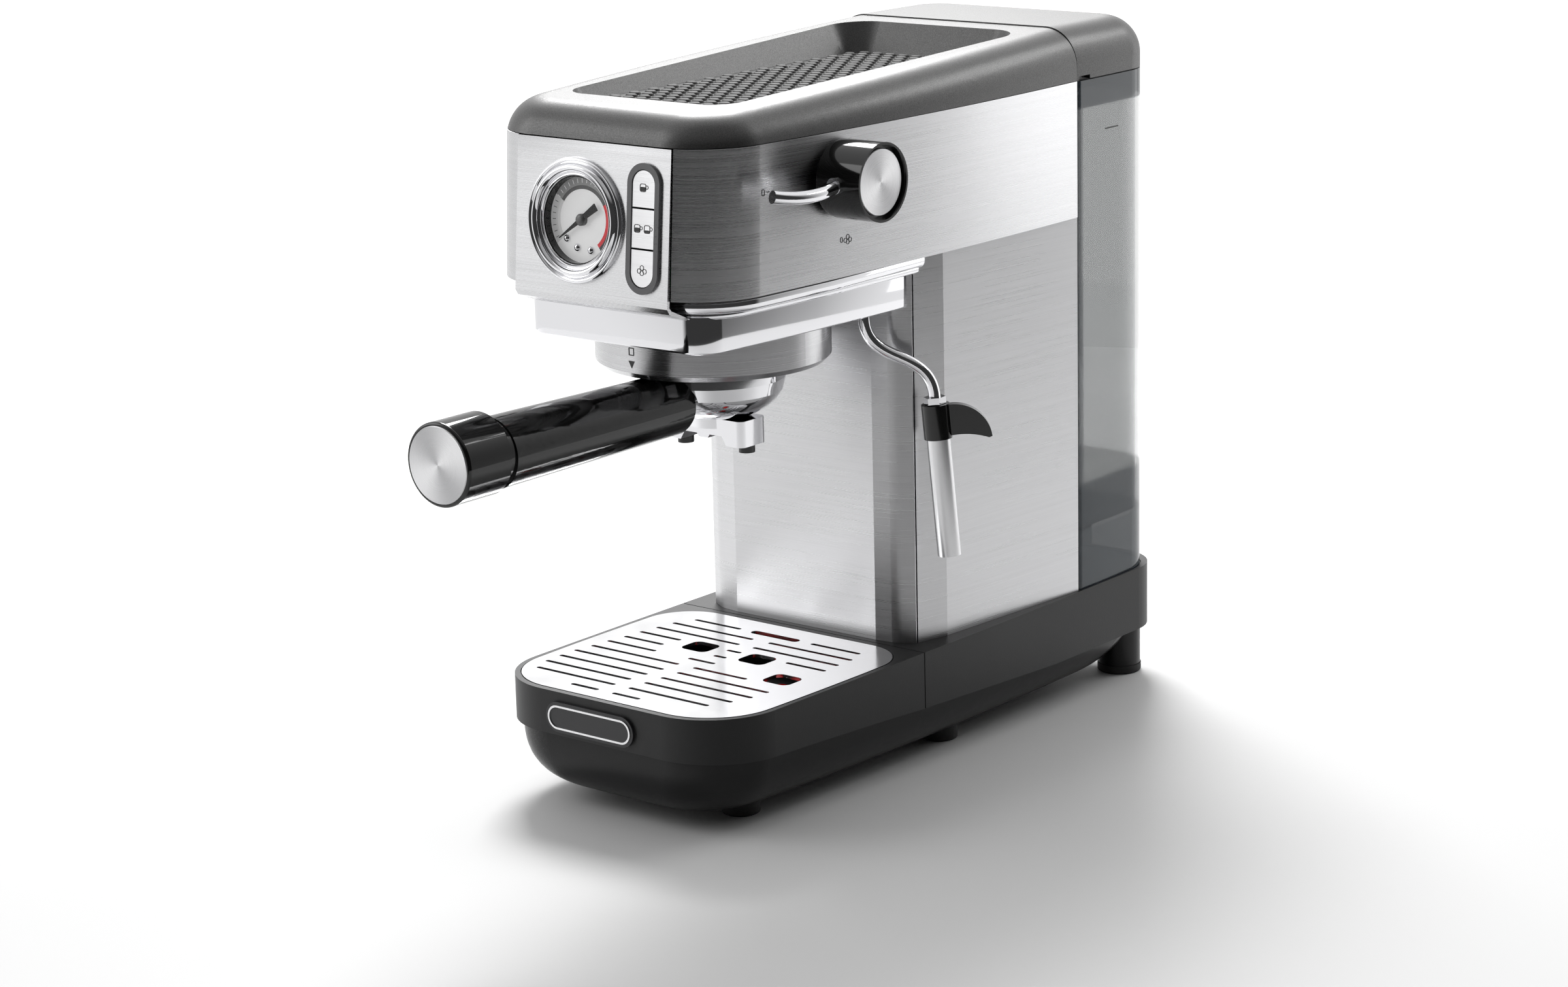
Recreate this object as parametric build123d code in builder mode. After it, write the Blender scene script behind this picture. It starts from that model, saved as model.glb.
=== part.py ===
"""A slim pump espresso machine, built as separate pieces.

Millimetres, +Z up. The origin is on the worktop under the middle of the base:
-Y is the front (handle side), +X is the side with the steam knob and the wand.
"""
import os
from math import cos, radians, sin

from build123d import *

os.makedirs("parts", exist_ok=True)

# ---- Driving dimensions ------------------------------------------------------
machine_width = 140.0
machine_depth = 329.0
front_y = -machine_depth / 2
back_y = machine_depth / 2

base_top = 54.0  # top edge of the drip tray and of the rear base
seam_y = -29.0  # joint between the drip tray and the rear base
chassis_bottom = 8.0
chassis_top = 35.0
wall = 2.4  # moulded plastic walls
sheet = 1.0  # steel sheet
gap = 0.3  # clearance between pieces that come apart

head_low = 229.0  # lower edge of the steel side panels
head_high = 290.5  # joint between the side panels and the cover
head_front_low = -160.5
head_front_high = -155.5
bulkhead_y = 91.0  # back of the column and the head, front of the tank
tank_back = 160.5
cover_front_high = 303.0  # flat top of the cover at its front edge
cover_back_high = 313.5  # and where it meets the tank lid
panel_half = 42.0  # half width of the flat front panel

group_y = -84.0  # axis of the brewing group
collar_r = 50.8
collar_low = 187.5
bowl_r = 31.0
handle_z = 173.0  # axis of the portafilter handle

gauge_x = -8.5
gauge_z = 257.7
gauge_r = 26.0
buttons_x = 28.7
buttons_z = 257.5
knob_y = -83.0
knob_z = 271.3
knob_r = 16.5
knob_face_x = 93.0
wand_xy = (46.5, -38.3)  # swivel of the steam wand


# ---- Plans shared by several pieces ------------------------------------------
def slim_plan(half, y_low, y_high, front_r, back_r, inset=0.0):
    """Plan with a flat front and back, bowed sides and rounded corners."""
    front, middle, back = (w - inset for w in half)
    y_a, y_b = y_low + inset, y_high - inset
    y_m = (y_a + y_b) / 2
    with BuildSketch() as plan:
        with BuildLine():
            Line((-front, y_a), (front, y_a))
            ThreePointArc((front, y_a), (middle, y_m), (back, y_b))
            Line((back, y_b), (-back, y_b))
            ThreePointArc((-back, y_b), (-middle, y_m), (-front, y_a))
        make_face()
        if front_r > inset:
            fillet(plan.vertices().group_by(Axis.Y)[0], front_r - inset)
        if back_r > inset:
            fillet(plan.vertices().group_by(Axis.Y)[-1], back_r - inset)
    return plan.sketch


def base_plan(inset=0.0):
    return slim_plan((67.5, 70, 69), front_y, back_y, 34, 25, inset)


def head_plan(inset=0.0, low=False):
    if low:
        return slim_plan((63.2, 69.6, 68.6), head_front_low, bulkhead_y, 32, 0, inset)
    return slim_plan((62.7, 71.2, 68.6), head_front_high, bulkhead_y, 30, 0, inset)


def tank_plan(inset=0.0, front_r=3.0):
    front = bulkhead_y + 0.4
    return slim_plan((68.4, 68.0, 66.5), front, tank_back, front_r, 25, inset)


def column_plan(inset=0.0):
    """Column: flat front, rolled front corners, folded sides that widen to the back."""
    front = -25.7 + inset
    with BuildSketch() as plan:
        with BuildLine():
            Polyline(
                (0, front),
                (40 - inset / 2, front),
                (50.5 - inset, front + 1.5),
                (58 - inset, front + 6),
                (62 - inset, -2),
                (68.4 - inset, bulkhead_y),
                (0, bulkhead_y),
                close=True,
            )
        make_face()
        mirror(about=Plane.YZ)
        fillet(plan.vertices().filter_by(lambda v: abs(v.X) > 45 and v.Y < front + 3), 12)
    return plan.sketch


def band_plan(inset=0.0):
    """Chromed band under the head: narrower than the head, rounded front corners."""
    return slim_plan((49.5, 54, 56.2), -148.7, -12, 11, 0, inset)


# ---- Chassis and base --------------------------------------------------------
# Lower moulding: a black tub whose walls slant in to a smaller flat bottom.
screw_places = [(-32, -60), (32, -60), (-32, 70), (32, 70)]
chassis_sections = [
    (chassis_bottom, slim_plan((49, 56, 54), -151, 128, 30, 26)),
    (15.0, slim_plan((58, 63.5, 62), -159, 145, 31, 27)),
    (chassis_top, base_plan(3.2)),
]
chassis_hollow = [
    (chassis_bottom + wall, slim_plan((46, 53, 51), -148, 125, 27, 23)),
    (16.5, slim_plan((55.5, 61, 59.5), -156, 142, 28, 24)),
    (chassis_top - wall, base_plan(5.8)),
]
with BuildPart() as chassis:
    for height, plan in chassis_sections:
        with BuildSketch(Plane.XY.offset(height)):
            add(plan)
    loft()
with BuildPart() as chassis_void:
    for height, plan in chassis_hollow:
        with BuildSketch(Plane.XY.offset(height)):
            add(plan)
    loft()
with chassis:
    add(chassis_void.part, mode=Mode.SUBTRACT)
    # open over the housing, closed by a deck under the drip tray
    with BuildSketch(Plane.XY.offset(chassis_top - wall - 0.1)):
        add(base_plan(8))
        with Locations((0, front_y)):
            Rectangle(150, 2 * (seam_y - front_y), mode=Mode.SUBTRACT)
    extrude(amount=wall + 1, mode=Mode.SUBTRACT)
    # bosses that carry the feet
    with BuildSketch(Plane.XY.offset(chassis_bottom)):
        with Locations((-38, -119), (38, -119), (-46, 12), (46, 12)):
            Circle(7)
    extrude(amount=5)
    # counterbores for the screws
    with BuildSketch(Plane.XY.offset(chassis_bottom)):
        with Locations(*screw_places):
            Circle(3.5)
    extrude(amount=1.6, mode=Mode.SUBTRACT)
chassis.part.label = "chassis"
export_step(chassis.part, "parts/chassis.step")

# Rear base: a skirt and a deck that the column and the tank stand on.
skirt_low = 24.0
with BuildPart() as rear_base:
    with BuildSketch(Plane.XY.offset(skirt_low)):
        add(base_plan())
        with Locations((0, front_y)):
            Rectangle(150, 2 * (seam_y - front_y), mode=Mode.SUBTRACT)
    extrude(amount=base_top - skirt_low)
    with BuildSketch(Plane.XY.offset(skirt_low - 1)):
        add(base_plan(wall))
        with Locations((0, front_y)):
            Rectangle(150, 2 * (seam_y + wall - front_y), mode=Mode.SUBTRACT)
    extrude(amount=base_top - wall - skirt_low + 1, mode=Mode.SUBTRACT)
    # room for the chassis rim, which runs through the front wall
    with BuildSketch(Plane.XY.offset(skirt_low - 1)):
        add(base_plan(2.9))
    extrude(amount=chassis_top + 0.2 - skirt_low + 1, mode=Mode.SUBTRACT)
    # service opening inside the column
    with BuildSketch(Plane.XY.offset(base_top)):
        with Locations((0, 33)):
            RectangleRounded(88, 90, 8)
    extrude(amount=-2 * wall, mode=Mode.SUBTRACT)
    # tank floor: a shallow recess, a socket for the outlet
    with BuildSketch(Plane.XY.offset(base_top)):
        add(tank_plan(-0.5, front_r=3.5))
    extrude(amount=-0.8, mode=Mode.SUBTRACT)
    with BuildSketch(Plane.XY.offset(base_top)):
        with Locations((0, 126)):
            Circle(11)
    extrude(amount=-2 * wall, mode=Mode.SUBTRACT)
    # hole for the mains gland
    with BuildSketch(Plane.XZ.offset(-back_y - 1)):
        with Locations((-34, 43.5)):
            Circle(5.05)
    extrude(amount=6, mode=Mode.SUBTRACT)
    # lower edge rises towards the seam
    with BuildSketch(Plane.YZ.offset(-80)):
        with BuildLine():
            Polyline(
                (seam_y - 1, skirt_low - 2),
                (seam_y - 1, 28.6),
                (70, skirt_low),
                (70, skirt_low - 2),
                close=True,
            )
        make_face()
    extrude(amount=160, mode=Mode.SUBTRACT)
rear_base.part.label = "rear_base"
export_step(rear_base.part, "parts/rear_base.step")

# Rubber feet under the chassis, one pair at the front and one in the middle.
with BuildPart() as chassis_feet:
    with BuildSketch(Plane.XY):
        with Locations((-38, -119), (38, -119), (-46, 12), (46, 12)):
            Circle(8.5)
    extrude(amount=chassis_bottom - 0.05)
    fillet(chassis_feet.edges().group_by(Axis.Z)[0], 1.2)
chassis_feet.part.label = "chassis_feet"
export_step(chassis_feet.part, "parts/chassis_feet.step")

# Rear feet: tall moulded posts under the overhanging rear base, with rubber pads.
rear_foot_places = [(-54, 146), (54, 146)]
with BuildPart() as rear_foot_posts:
    with BuildSketch(Plane.XY.offset(4)):
        with Locations(*rear_foot_places):
            Circle(10)
    extrude(amount=27)
    with BuildSketch(Plane.XY.offset(28)):
        with Locations((-46, 140), (46, 140)):
            RectangleRounded(30, 26, 6)
    extrude(amount=base_top - wall - 28.05)
    add(chassis.part, mode=Mode.SUBTRACT)
    with BuildSketch(Plane.XY.offset(40)):
        with Locations((-46, 140), (46, 140)):
            RectangleRounded(20, 16, 3)
    extrude(amount=20, mode=Mode.SUBTRACT)
rear_foot_posts.part.label = "rear_foot_posts"
export_step(rear_foot_posts.part, "parts/rear_foot_posts.step")

with BuildPart() as rear_foot_pads:
    with BuildSketch(Plane.XY):
        with Locations(*rear_foot_places):
            Circle(10.4)
    extrude(amount=3.95)
    fillet(rear_foot_pads.edges().group_by(Axis.Z)[0], 1.0)
rear_foot_pads.part.label = "rear_foot_pads"
export_step(rear_foot_pads.part, "parts/rear_foot_pads.step")

# ---- Drip tray ---------------------------------------------------------------
tray_floor = 35.6
tray_back = seam_y - 0.6
with BuildPart() as drip_tray:
    with BuildSketch(Plane.XY.offset(26)):
        add(base_plan())
        with Locations((0, back_y)):
            Rectangle(150, 2 * (back_y - tray_back), mode=Mode.SUBTRACT)
    extrude(amount=base_top - 26)
    # basin below the grid's ledge
    with BuildSketch(Plane.XY.offset(tray_floor + wall)):
        add(slim_plan((61, 63.5, 63.5), front_y + 6.5, tray_back - 7, 27.5, 20))
    extrude(amount=30, mode=Mode.SUBTRACT)
    with BuildSketch(Plane.XY.offset(52.6)):
        add(slim_plan((64.5, 67, 67), front_y + 2.8, tray_back - 3.5, 31.2, 23))
    extrude(amount=10, mode=Mode.SUBTRACT)
    # hollow below the floor, where the tray sits over the chassis
    with BuildSketch(Plane.XY.offset(20)):
        add(base_plan(wall))
        with Locations((0, back_y)):
            Rectangle(150, 2 * (back_y - tray_back) - 4, mode=Mode.SUBTRACT)
    extrude(amount=tray_floor - 20, mode=Mode.SUBTRACT)
    # the skirt's lower edge curves up towards the front
    with BuildSketch(Plane.YZ.offset(-80)):
        with BuildLine():
            edge = ThreePointArc((tray_back + 1, 28.4), (-105, 32.6), (front_y - 1, 34.6))
            Polyline(edge @ 1, (front_y - 1, 20), (tray_back + 1, 20), edge @ 0)
        make_face()
    extrude(amount=160, mode=Mode.SUBTRACT)
drip_tray.part.label = "drip_tray"
export_step(drip_tray.part, "parts/drip_tray.step")

# Steel grid with slots along X, a wider slot at the back and three float windows.
row_pitch = 9.55
first_row = -47.3
slot_rows = [
    [(-47, -20), (20.5, 48)],
    [(-52, -5), (4, 51)],
    [(-53.5, -5), (3, 51)],
    [(-55, -31), (-4, 4), (29.5, 51.5)],
    [(-56, -33), (-3.5, 3.5)],
    [(-57.5, -29), (-10, 5)],
    [(-58.5, -7.5), (1, 31)],
    [(-60, -8), (0, 51)],
    [(-60, -9), (-1, 50)],
    [(-59.5, -10), (-2, 47)],
    [(-56, -10.5), (-2.5, 42)],
    [(-27, -11.5), (-3.5, 12)],
]
window_places = [(-17.0, -78.7), (16.0, -79.4), (44.0, -96.4)]
with BuildPart() as drip_grid:
    with BuildSketch(Plane.XY.offset(52.65)):
        add(slim_plan((64, 66.5, 66.5), front_y + 3.3, tray_back - 4, 30.7, 22.5))
        for row, spans in enumerate(slot_rows):
            for x_low, x_high in spans:
                with Locations(((x_low + x_high) / 2, first_row - row * row_pitch)):
                    SlotOverall(x_high - x_low, 2.2, mode=Mode.SUBTRACT)
        with Locations((0, first_row)):
            SlotOverall(27, 4.4, mode=Mode.SUBTRACT)
        with Locations(*window_places):
            RectangleRounded(14.5, 13, 3.5, mode=Mode.SUBTRACT)
    extrude(amount=1.5)
drip_grid.part.label = "drip_grid"
export_step(drip_grid.part, "parts/drip_grid.step")

# Red float that rises with the water and shows through the windows.
with BuildPart() as tray_float:
    with BuildSketch(Plane.XY.offset(tray_floor + wall + 0.1)):
        for place, size in (((44, -97), 11), ((21, -83), 8.5), ((-31, -79), 6.5)):
            with Locations(place):
                Circle(size)
        with Locations((33, -90)):
            Rectangle(26, 17, rotation=-31)
        with Locations((-5, -81)):
            Rectangle(52, 5, rotation=-4)
    extrude(amount=4.5)
    # cap that comes up through the side window when the tray is full
    with BuildSketch(Plane.XY.offset(tray_floor + wall + 3)):
        with Locations(window_places[2]):
            RectangleRounded(12.2, 10.8, 3)
    extrude(amount=9.4)
    fillet(tray_float.edges().group_by(Axis.Z)[-1], 0.8)
tray_float.part.label = "tray_float"
export_step(tray_float.part, "parts/tray_float.step")

# Blank name plate on the tray's front.
with BuildPart() as badge_plate:
    with BuildSketch(Plane.XZ.offset(-front_y + 0.02)):
        with Locations((-5.3, 43.2)):
            SlotOverall(49.5, 13.5)
    extrude(amount=1.3)
badge_plate.part.label = "badge_plate"
export_step(badge_plate.part, "parts/badge_plate.step")

# ---- Column ------------------------------------------------------------------
pump_xy = (0, 36)
column_low = base_top + 0.05
column_height = head_low - column_low - 0.1
with BuildPart() as column_front:
    with BuildSketch(Plane.XY.offset(column_low)):
        add(column_plan())
        add(column_plan(sheet), mode=Mode.SUBTRACT)
        with Locations((0, 100)):
            Rectangle(150, 2 * (100 + 19.3), mode=Mode.SUBTRACT)
    extrude(amount=column_height)
column_front.part.label = "column_front"
export_step(column_front.part, "parts/column_front.step")

# The two folded side plates of the column.
with BuildPart() as column_sides:
    with BuildSketch(Plane.XY.offset(column_low)):
        add(column_plan())
        add(column_plan(sheet), mode=Mode.SUBTRACT)
        with Locations((0, -60)):
            Rectangle(150, 2 * (60 - 18.6), mode=Mode.SUBTRACT)
        with Locations((0, 100)):
            Rectangle(134.6, 2 * (100 - 89.9), mode=Mode.SUBTRACT)
    extrude(amount=column_height)
column_sides.part.label = "column_sides"
export_step(column_sides.part, "parts/column_sides.step")

# Moulded frame inside the column, with shelves for the pump and its hoses.
with BuildPart() as column_frame:
    with BuildSketch(Plane.XY.offset(column_low)):
        with Locations((0, 34)):
            RectangleRounded(96, 100, 10)
            RectangleRounded(90, 94, 7, mode=Mode.SUBTRACT)
    extrude(amount=218 - column_low)
    for shelf_z in (66.0, 150.0, 216.0):
        with BuildSketch(Plane.XY.offset(shelf_z)):
            with Locations((0, 34)):
                RectangleRounded(96, 100, 10)
                with GridLocations(56, 60, 2, 2):
                    Circle(10, mode=Mode.SUBTRACT)
            with Locations(pump_xy):
                Circle(13.2, mode=Mode.SUBTRACT)
        extrude(amount=2.5)
column_frame.part.label = "column_frame"
export_step(column_frame.part, "parts/column_frame.step")

# Bulkhead: the back wall of the column and the head, facing the tank.
with BuildPart() as bulkhead:
    with BuildSketch(Plane.XZ.offset(-(bulkhead_y - 2.5))):
        with Locations((0, (column_low + head_high) / 2)):
            RectangleRounded(134.2, head_high - column_low - 0.2, 3)
        with Locations((0, 74)):
            Circle(6, mode=Mode.SUBTRACT)
    extrude(amount=-2.5)
bulkhead.part.label = "bulkhead"
export_step(bulkhead.part, "parts/bulkhead.step")

# ---- Head --------------------------------------------------------------------
def head_body(inset):
    with BuildPart() as body:
        with BuildSketch(Plane.XY.offset(head_low)):
            add(head_plan(inset, low=True))
        with BuildSketch(Plane.XY.offset(head_high)):
            add(head_plan(inset))
        loft()
    return body.part


lip_y, lip_z = -149.6, 219.6
front_low_y, front_low_z = -161.1, 226.0
head_skin = head_body(0) - head_body(sheet) - Pos(0, bulkhead_y, 260) * Box(135.1, 2.4, 80)
for side, label in ((1, "side_panel_right"), (-1, "side_panel_left")):
    with BuildPart() as side_panel:
        add(head_skin)
        with Locations((side * (panel_half + 0.4 + 50), -35, 260)):
            Box(100, 260, 80, mode=Mode.INTERSECT)
        if side > 0:
            with Locations(Location((60, knob_y, knob_z), (0, 90, 0))):
                Cylinder(6, 30, mode=Mode.SUBTRACT)
    side_panel.part.label = label
    export_step(side_panel.part, f"parts/{label}.step")

panel_lean = (head_front_high - front_low_y) / (head_high - 0.2 - front_low_z)


def front_plane(x, z):
    """Plane on the leaning front panel at (x, z), facing outwards."""
    face_y = head_front_high - panel_lean * (head_high - 0.2 - z)
    return Plane(origin=(x, face_y, z), x_dir=(1, 0, 0), z_dir=(0, -1, panel_lean))


# Front panel: a leaning steel plate whose lower lip turns in to the band.
with BuildPart() as front_panel:
    with BuildSketch(Plane.YZ.offset(-panel_half)):
        with BuildLine():
            Polyline(
                (head_front_high, head_high - 0.2),
                (front_low_y, front_low_z),
                (front_low_y + 1.4, front_low_z - 2.4),
                (lip_y, lip_z),
                (lip_y + 1.2, lip_z + 0.8),
                (front_low_y + 2.6, front_low_z - 1.0),
                (front_low_y + 1.4, front_low_z + 0.4),
                (head_front_high + 1.4, head_high - 0.2),
                close=True,
            )
        make_face()
    extrude(amount=2 * panel_half)
    with BuildSketch(front_plane(gauge_x, gauge_z).offset(-10)):
        Circle(gauge_r - 2.0)
    extrude(amount=20, mode=Mode.SUBTRACT)
    with BuildSketch(front_plane(buttons_x, buttons_z).offset(-10)):
        SlotOverall(50.6, 14.8, rotation=90)
    extrude(amount=20, mode=Mode.SUBTRACT)
front_panel.part.label = "front_panel"
export_step(front_panel.part, "parts/front_panel.step")

# Head tray: the moulded floor and inner walls that carry the panels.
with BuildPart() as head_frame:
    with BuildSketch(Plane.XY.offset(head_low + 0.6)):
        add(head_plan(sheet + 1.2, low=True))
        with Locations((0, 120)):
            Rectangle(160, 70, mode=Mode.SUBTRACT)
        with Locations((0, group_y)):
            Circle(38, mode=Mode.SUBTRACT)
        with Locations((0, -160)):
            Rectangle(2 * panel_half + 4, 24, mode=Mode.SUBTRACT)
        with Locations((0, 34)):
            RectangleRounded(88, 84, 8, mode=Mode.SUBTRACT)
        with Locations(wand_xy):
            Circle(6, mode=Mode.SUBTRACT)
    extrude(amount=wall)
    # ribs that stand on the floor along both sides
    with BuildSketch(Plane.XY.offset(head_low + 0.6)):
        with Locations((-58, -40), (58, 20)):
            Rectangle(2.5, 90)
    extrude(amount=50)
head_frame.part.label = "head_frame"
export_step(head_frame.part, "parts/head_frame.step")

# Chromed underside: a stepped skirt under the side panels over the plain band.
band_low, band_high = 205.0, 219.0
with BuildPart() as chrome_band:
    with BuildSketch(Plane.XY.offset(band_low)):
        add(band_plan())
    extrude(amount=band_high - band_low + 0.5)
    with BuildSketch(Plane.XY.offset(band_high)):
        add(slim_plan((57, 60, 59), -151, -12, 26, 0))
    extrude(amount=head_low - 0.3 - band_high)
    # hollow inside, open to the head
    with BuildSketch(Plane.XY.offset(band_low + wall)):
        add(band_plan(wall))
    extrude(amount=40, mode=Mode.SUBTRACT)
    with BuildSketch(Plane.XY.offset(band_low - 1)):
        with Locations((0, group_y)):
            Circle(44)
        with Locations(wand_xy):
            Circle(3.2)
    extrude(amount=10, mode=Mode.SUBTRACT)
    # the back follows the column's face
    with BuildSketch(Plane.XY.offset(band_low - 1)):
        add(column_plan(-0.15))
        with Locations((0, 20)):
            Rectangle(90, 60)
    extrude(amount=60, mode=Mode.SUBTRACT)
    # front opening behind the panel's lip
    with Locations((0, head_front_low, head_low)):
        Box(2 * panel_half + 0.4, 25.4, 2 * (head_low - band_high) - 0.6, mode=Mode.SUBTRACT)
chrome_band.part.label = "chrome_band"
export_step(chrome_band.part, "parts/chrome_band.step")

# ---- Top cover ---------------------------------------------------------------
cover_slope = (cover_back_high - cover_front_high) / (bulkhead_y - head_front_high)
pan_floor = 298.3
pan_low_half, pan_y = 41.5, (-122.5, 71.0)
pan_length = pan_y[1] - pan_y[0]
pan_middle = (pan_y[0] + pan_y[1]) / 2


def cover_top_wedge(drop=0.0):
    """Everything above the cover's sloping top."""
    low_z = cover_front_high - drop - cover_slope * 45
    high_z = cover_back_high - drop + cover_slope * 40
    with BuildPart() as wedge:
        with BuildSketch(Plane.YZ.offset(-90)):
            with BuildLine():
                Polyline(
                    (head_front_high - 45, low_z),
                    (bulkhead_y + 40, high_z),
                    (bulkhead_y + 40, 360),
                    (head_front_high - 45, 360),
                    close=True,
                )
            make_face()
        extrude(amount=180)
    return wedge.part


def cover_dome(inset, drop, low_z, round_r):
    with BuildPart() as dome:
        with BuildSketch(Plane.XY.offset(270)):
            add(head_plan(inset))
        extrude(amount=80)
        add(cover_top_wedge(drop), mode=Mode.SUBTRACT)
        top = dome.faces().sort_by(Axis.Z)[-1]
        rim = top.edges().filter_by(lambda e: e.center().Y < bulkhead_y - inset - 1)
        fillet(rim, round_r)
        with Locations((0, 0, low_z - 50)):
            Box(300, 500, 100, mode=Mode.SUBTRACT)
    return dome.part


def pan_solid(grow, floor_z):
    """Tapered block with the outline of the recess for warming cups."""
    with BuildPart() as pan:
        with BuildSketch(Plane.XY.offset(floor_z)):
            with Locations((0, pan_middle)):
                RectangleRounded(2 * (pan_low_half + grow), pan_length + 2 * grow, 9 + grow)
        extrude(amount=22, taper=-28)
    return pan.part


cover_inside = cover_dome(wall, wall, head_high - 5, 14.5) - pan_solid(wall, pan_floor - wall)
with BuildPart() as top_cover:
    add(cover_dome(0, 0, head_high + 0.25, 17))
    add(cover_inside, mode=Mode.SUBTRACT)
    add(pan_solid(0, pan_floor), mode=Mode.SUBTRACT)
    with BuildSketch(Plane.XZ.offset(-(bulkhead_y - 0.2))):
        with Locations((0, 300)):
            Rectangle(130, 12)
    extrude(amount=1.8)
top_cover.part.label = "top_cover"
export_step(top_cover.part, "parts/top_cover.step")

# Cup-warming plate in the recess, with staggered raised scales.
with BuildPart() as cup_plate:
    with BuildSketch(Plane.XY.offset(pan_floor + 0.05)):
        with Locations((0, pan_middle)):
            RectangleRounded(2 * pan_low_half - 1, pan_length - 1, 8.5)
    extrude(amount=1.2)
cup_plate.part.label = "cup_plate"
export_step(cup_plate.part, "parts/cup_plate.step")

# ---- Water tank --------------------------------------------------------------
tank_low = base_top - 0.7
with BuildPart() as water_tank:
    with BuildSketch(Plane.XY.offset(tank_low)):
        add(tank_plan())
    extrude(amount=head_high - 0.3 - tank_low)
    with BuildSketch(Plane.XY.offset(tank_low + 3)):
        add(tank_plan(2.2))
    extrude(amount=300, mode=Mode.SUBTRACT)
    # step in the floor behind the smoked lower band
    with BuildSketch(Plane.XY.offset(tank_low + 3)):
        add(tank_plan(2.2))
        with Locations((0, 126)):
            Rectangle(60, 80, mode=Mode.SUBTRACT)
    extrude(amount=26)
    # outlet neck
    with BuildSketch(Plane.XY.offset(tank_low - 5)):
        with Locations((0, 126)):
            Circle(8.5)
    extrude(amount=5)
    with BuildSketch(Plane.XY.offset(tank_low - 6)):
        with Locations((0, 126)):
            Circle(5.5)
    extrude(amount=20, mode=Mode.SUBTRACT)
water_tank.part.label = "water_tank"
export_step(water_tank.part, "parts/water_tank.step")

# Spring valve that closes the outlet when the tank is lifted.
with BuildPart() as tank_valve:
    with BuildSketch(Plane.XZ.offset(-126)):
        with BuildLine():
            Polyline(
                (0, tank_low - 3.5),
                (1.6, tank_low - 3.5),
                (1.6, tank_low + 3.4),
                (8.2, tank_low + 3.4),
                (8.2, tank_low + 5.2),
                (2.4, tank_low + 5.2),
                (2.4, tank_low + 13),
                (0, tank_low + 13),
                close=True,
            )
        make_face()
    revolve(axis=Axis((0, 126, 0), (0, 0, 1)))
tank_valve.part.label = "tank_valve"
export_step(tank_valve.part, "parts/tank_valve.step")

# Rubber seat in the base that the outlet plugs into.
with BuildPart() as tank_seat:
    with BuildSketch(Plane.XY.offset(base_top - 7.8)):
        with Locations((0, 126)):
            Circle(10.9)
    extrude(amount=6.4)
    with BuildSketch(Plane.XY.offset(base_top - 6.2)):
        with Locations((0, 126)):
            Circle(8.8)
    extrude(amount=6, mode=Mode.SUBTRACT)
    with BuildSketch(Plane.XY.offset(base_top - 9)):
        with Locations((0, 126)):
            Circle(2.5)
    extrude(amount=6, mode=Mode.SUBTRACT)
tank_seat.part.label = "tank_seat"
export_step(tank_seat.part, "parts/tank_seat.step")

# Tank lid: the back of the painted top, a cap that lifts off the tank.
lid_high = cover_back_high + 0.6
with BuildPart() as tank_lid:
    with BuildSketch(Plane.XY.offset(270)):
        add(tank_plan(front_r=0))
    extrude(amount=lid_high - 270)
    lid_top = tank_lid.faces().sort_by(Axis.Z)[-1]
    fillet(lid_top.edges().filter_by(lambda e: e.center().Y > bulkhead_y + 2), 17)
    with Locations((0, 0, head_high + 0.25 - 50)):
        Box(300, 500, 100, mode=Mode.SUBTRACT)
    with BuildSketch(Plane.XY.offset(head_high)):
        add(tank_plan(6, front_r=0))
    extrude(amount=9, mode=Mode.SUBTRACT)
    # locating rim inside the tank's mouth
    with BuildSketch(Plane.XY.offset(head_high - 4)):
        add(tank_plan(2.7))
        add(tank_plan(6), mode=Mode.SUBTRACT)
    extrude(amount=4.5)
    # finger notch in the lower edge beside the seam
    with Locations((69, bulkhead_y + 6, head_high)):
        Box(6, 9, 4, mode=Mode.SUBTRACT)
tank_lid.part.label = "tank_lid"
export_step(tank_lid.part, "parts/tank_lid.step")

# ---- Brewing group -----------------------------------------------------------
def turned(points):
    """Solid of revolution about the group axis from (radius, height) points."""
    with BuildPart() as piece:
        with BuildSketch(Plane.XZ.offset(-group_y)):
            with BuildLine():
                Polyline(*points, close=True)
            make_face()
        revolve(axis=Axis((0, group_y, 0), (0, 0, 1)))
    return piece.part


# Collar: the brushed ring around the group, rolled in at its lower edge.
with BuildPart() as group_collar:
    add(
        turned(
            [
                (collar_r, band_low - 0.05),
                (collar_r, collar_low + 2.5),
                (collar_r - 2.5, collar_low),
                (41.5, collar_low),
                (41.5, collar_low + 1.2),
                (collar_r - 2.9, collar_low + 1.2),
                (collar_r - 1.2, collar_low + 2.9),
                (collar_r - 1.2, band_low - 0.05),
            ]
        )
    )
group_collar.part.label = "group_collar"
export_step(group_collar.part, "parts/group_collar.step")

# Group head casting: flange, threaded throat and two ramps for the lugs.
ramp_angle = 50
with BuildPart() as group_head:
    add(
        turned(
            [
                (43.4, 213),
                (43.4, 199),
                (41.2, 197),
                (41.2, 188.2),
                (38.6, 188.2),
                (38.6, 194.6),
                (35.8, 194.6),
                (35.8, 198.6),
                (28.6, 198.6),
                (28.6, 195.4),
                (4.2, 195.4),
                (4.2, 213),
            ]
        )
    )
    # inward ramps that hold the portafilter's lugs from below
    with BuildSketch(Plane.XY.offset(188.2)):
        with Locations((0, group_y)):
            Circle(38.9)
            Circle(35.2, mode=Mode.SUBTRACT)
            Rectangle(120, 46, mode=Mode.INTERSECT)
    extrude(amount=1.9)
group_head.part.label = "group_head"
export_step(group_head.part, "parts/group_head.step")

with BuildPart() as group_gasket:
    add(turned([(35.6, 198.5), (35.6, 194.3), (29.0, 194.3), (29.0, 198.5)]))
group_gasket.part.label = "group_gasket"
export_step(group_gasket.part, "parts/group_gasket.step")

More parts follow.
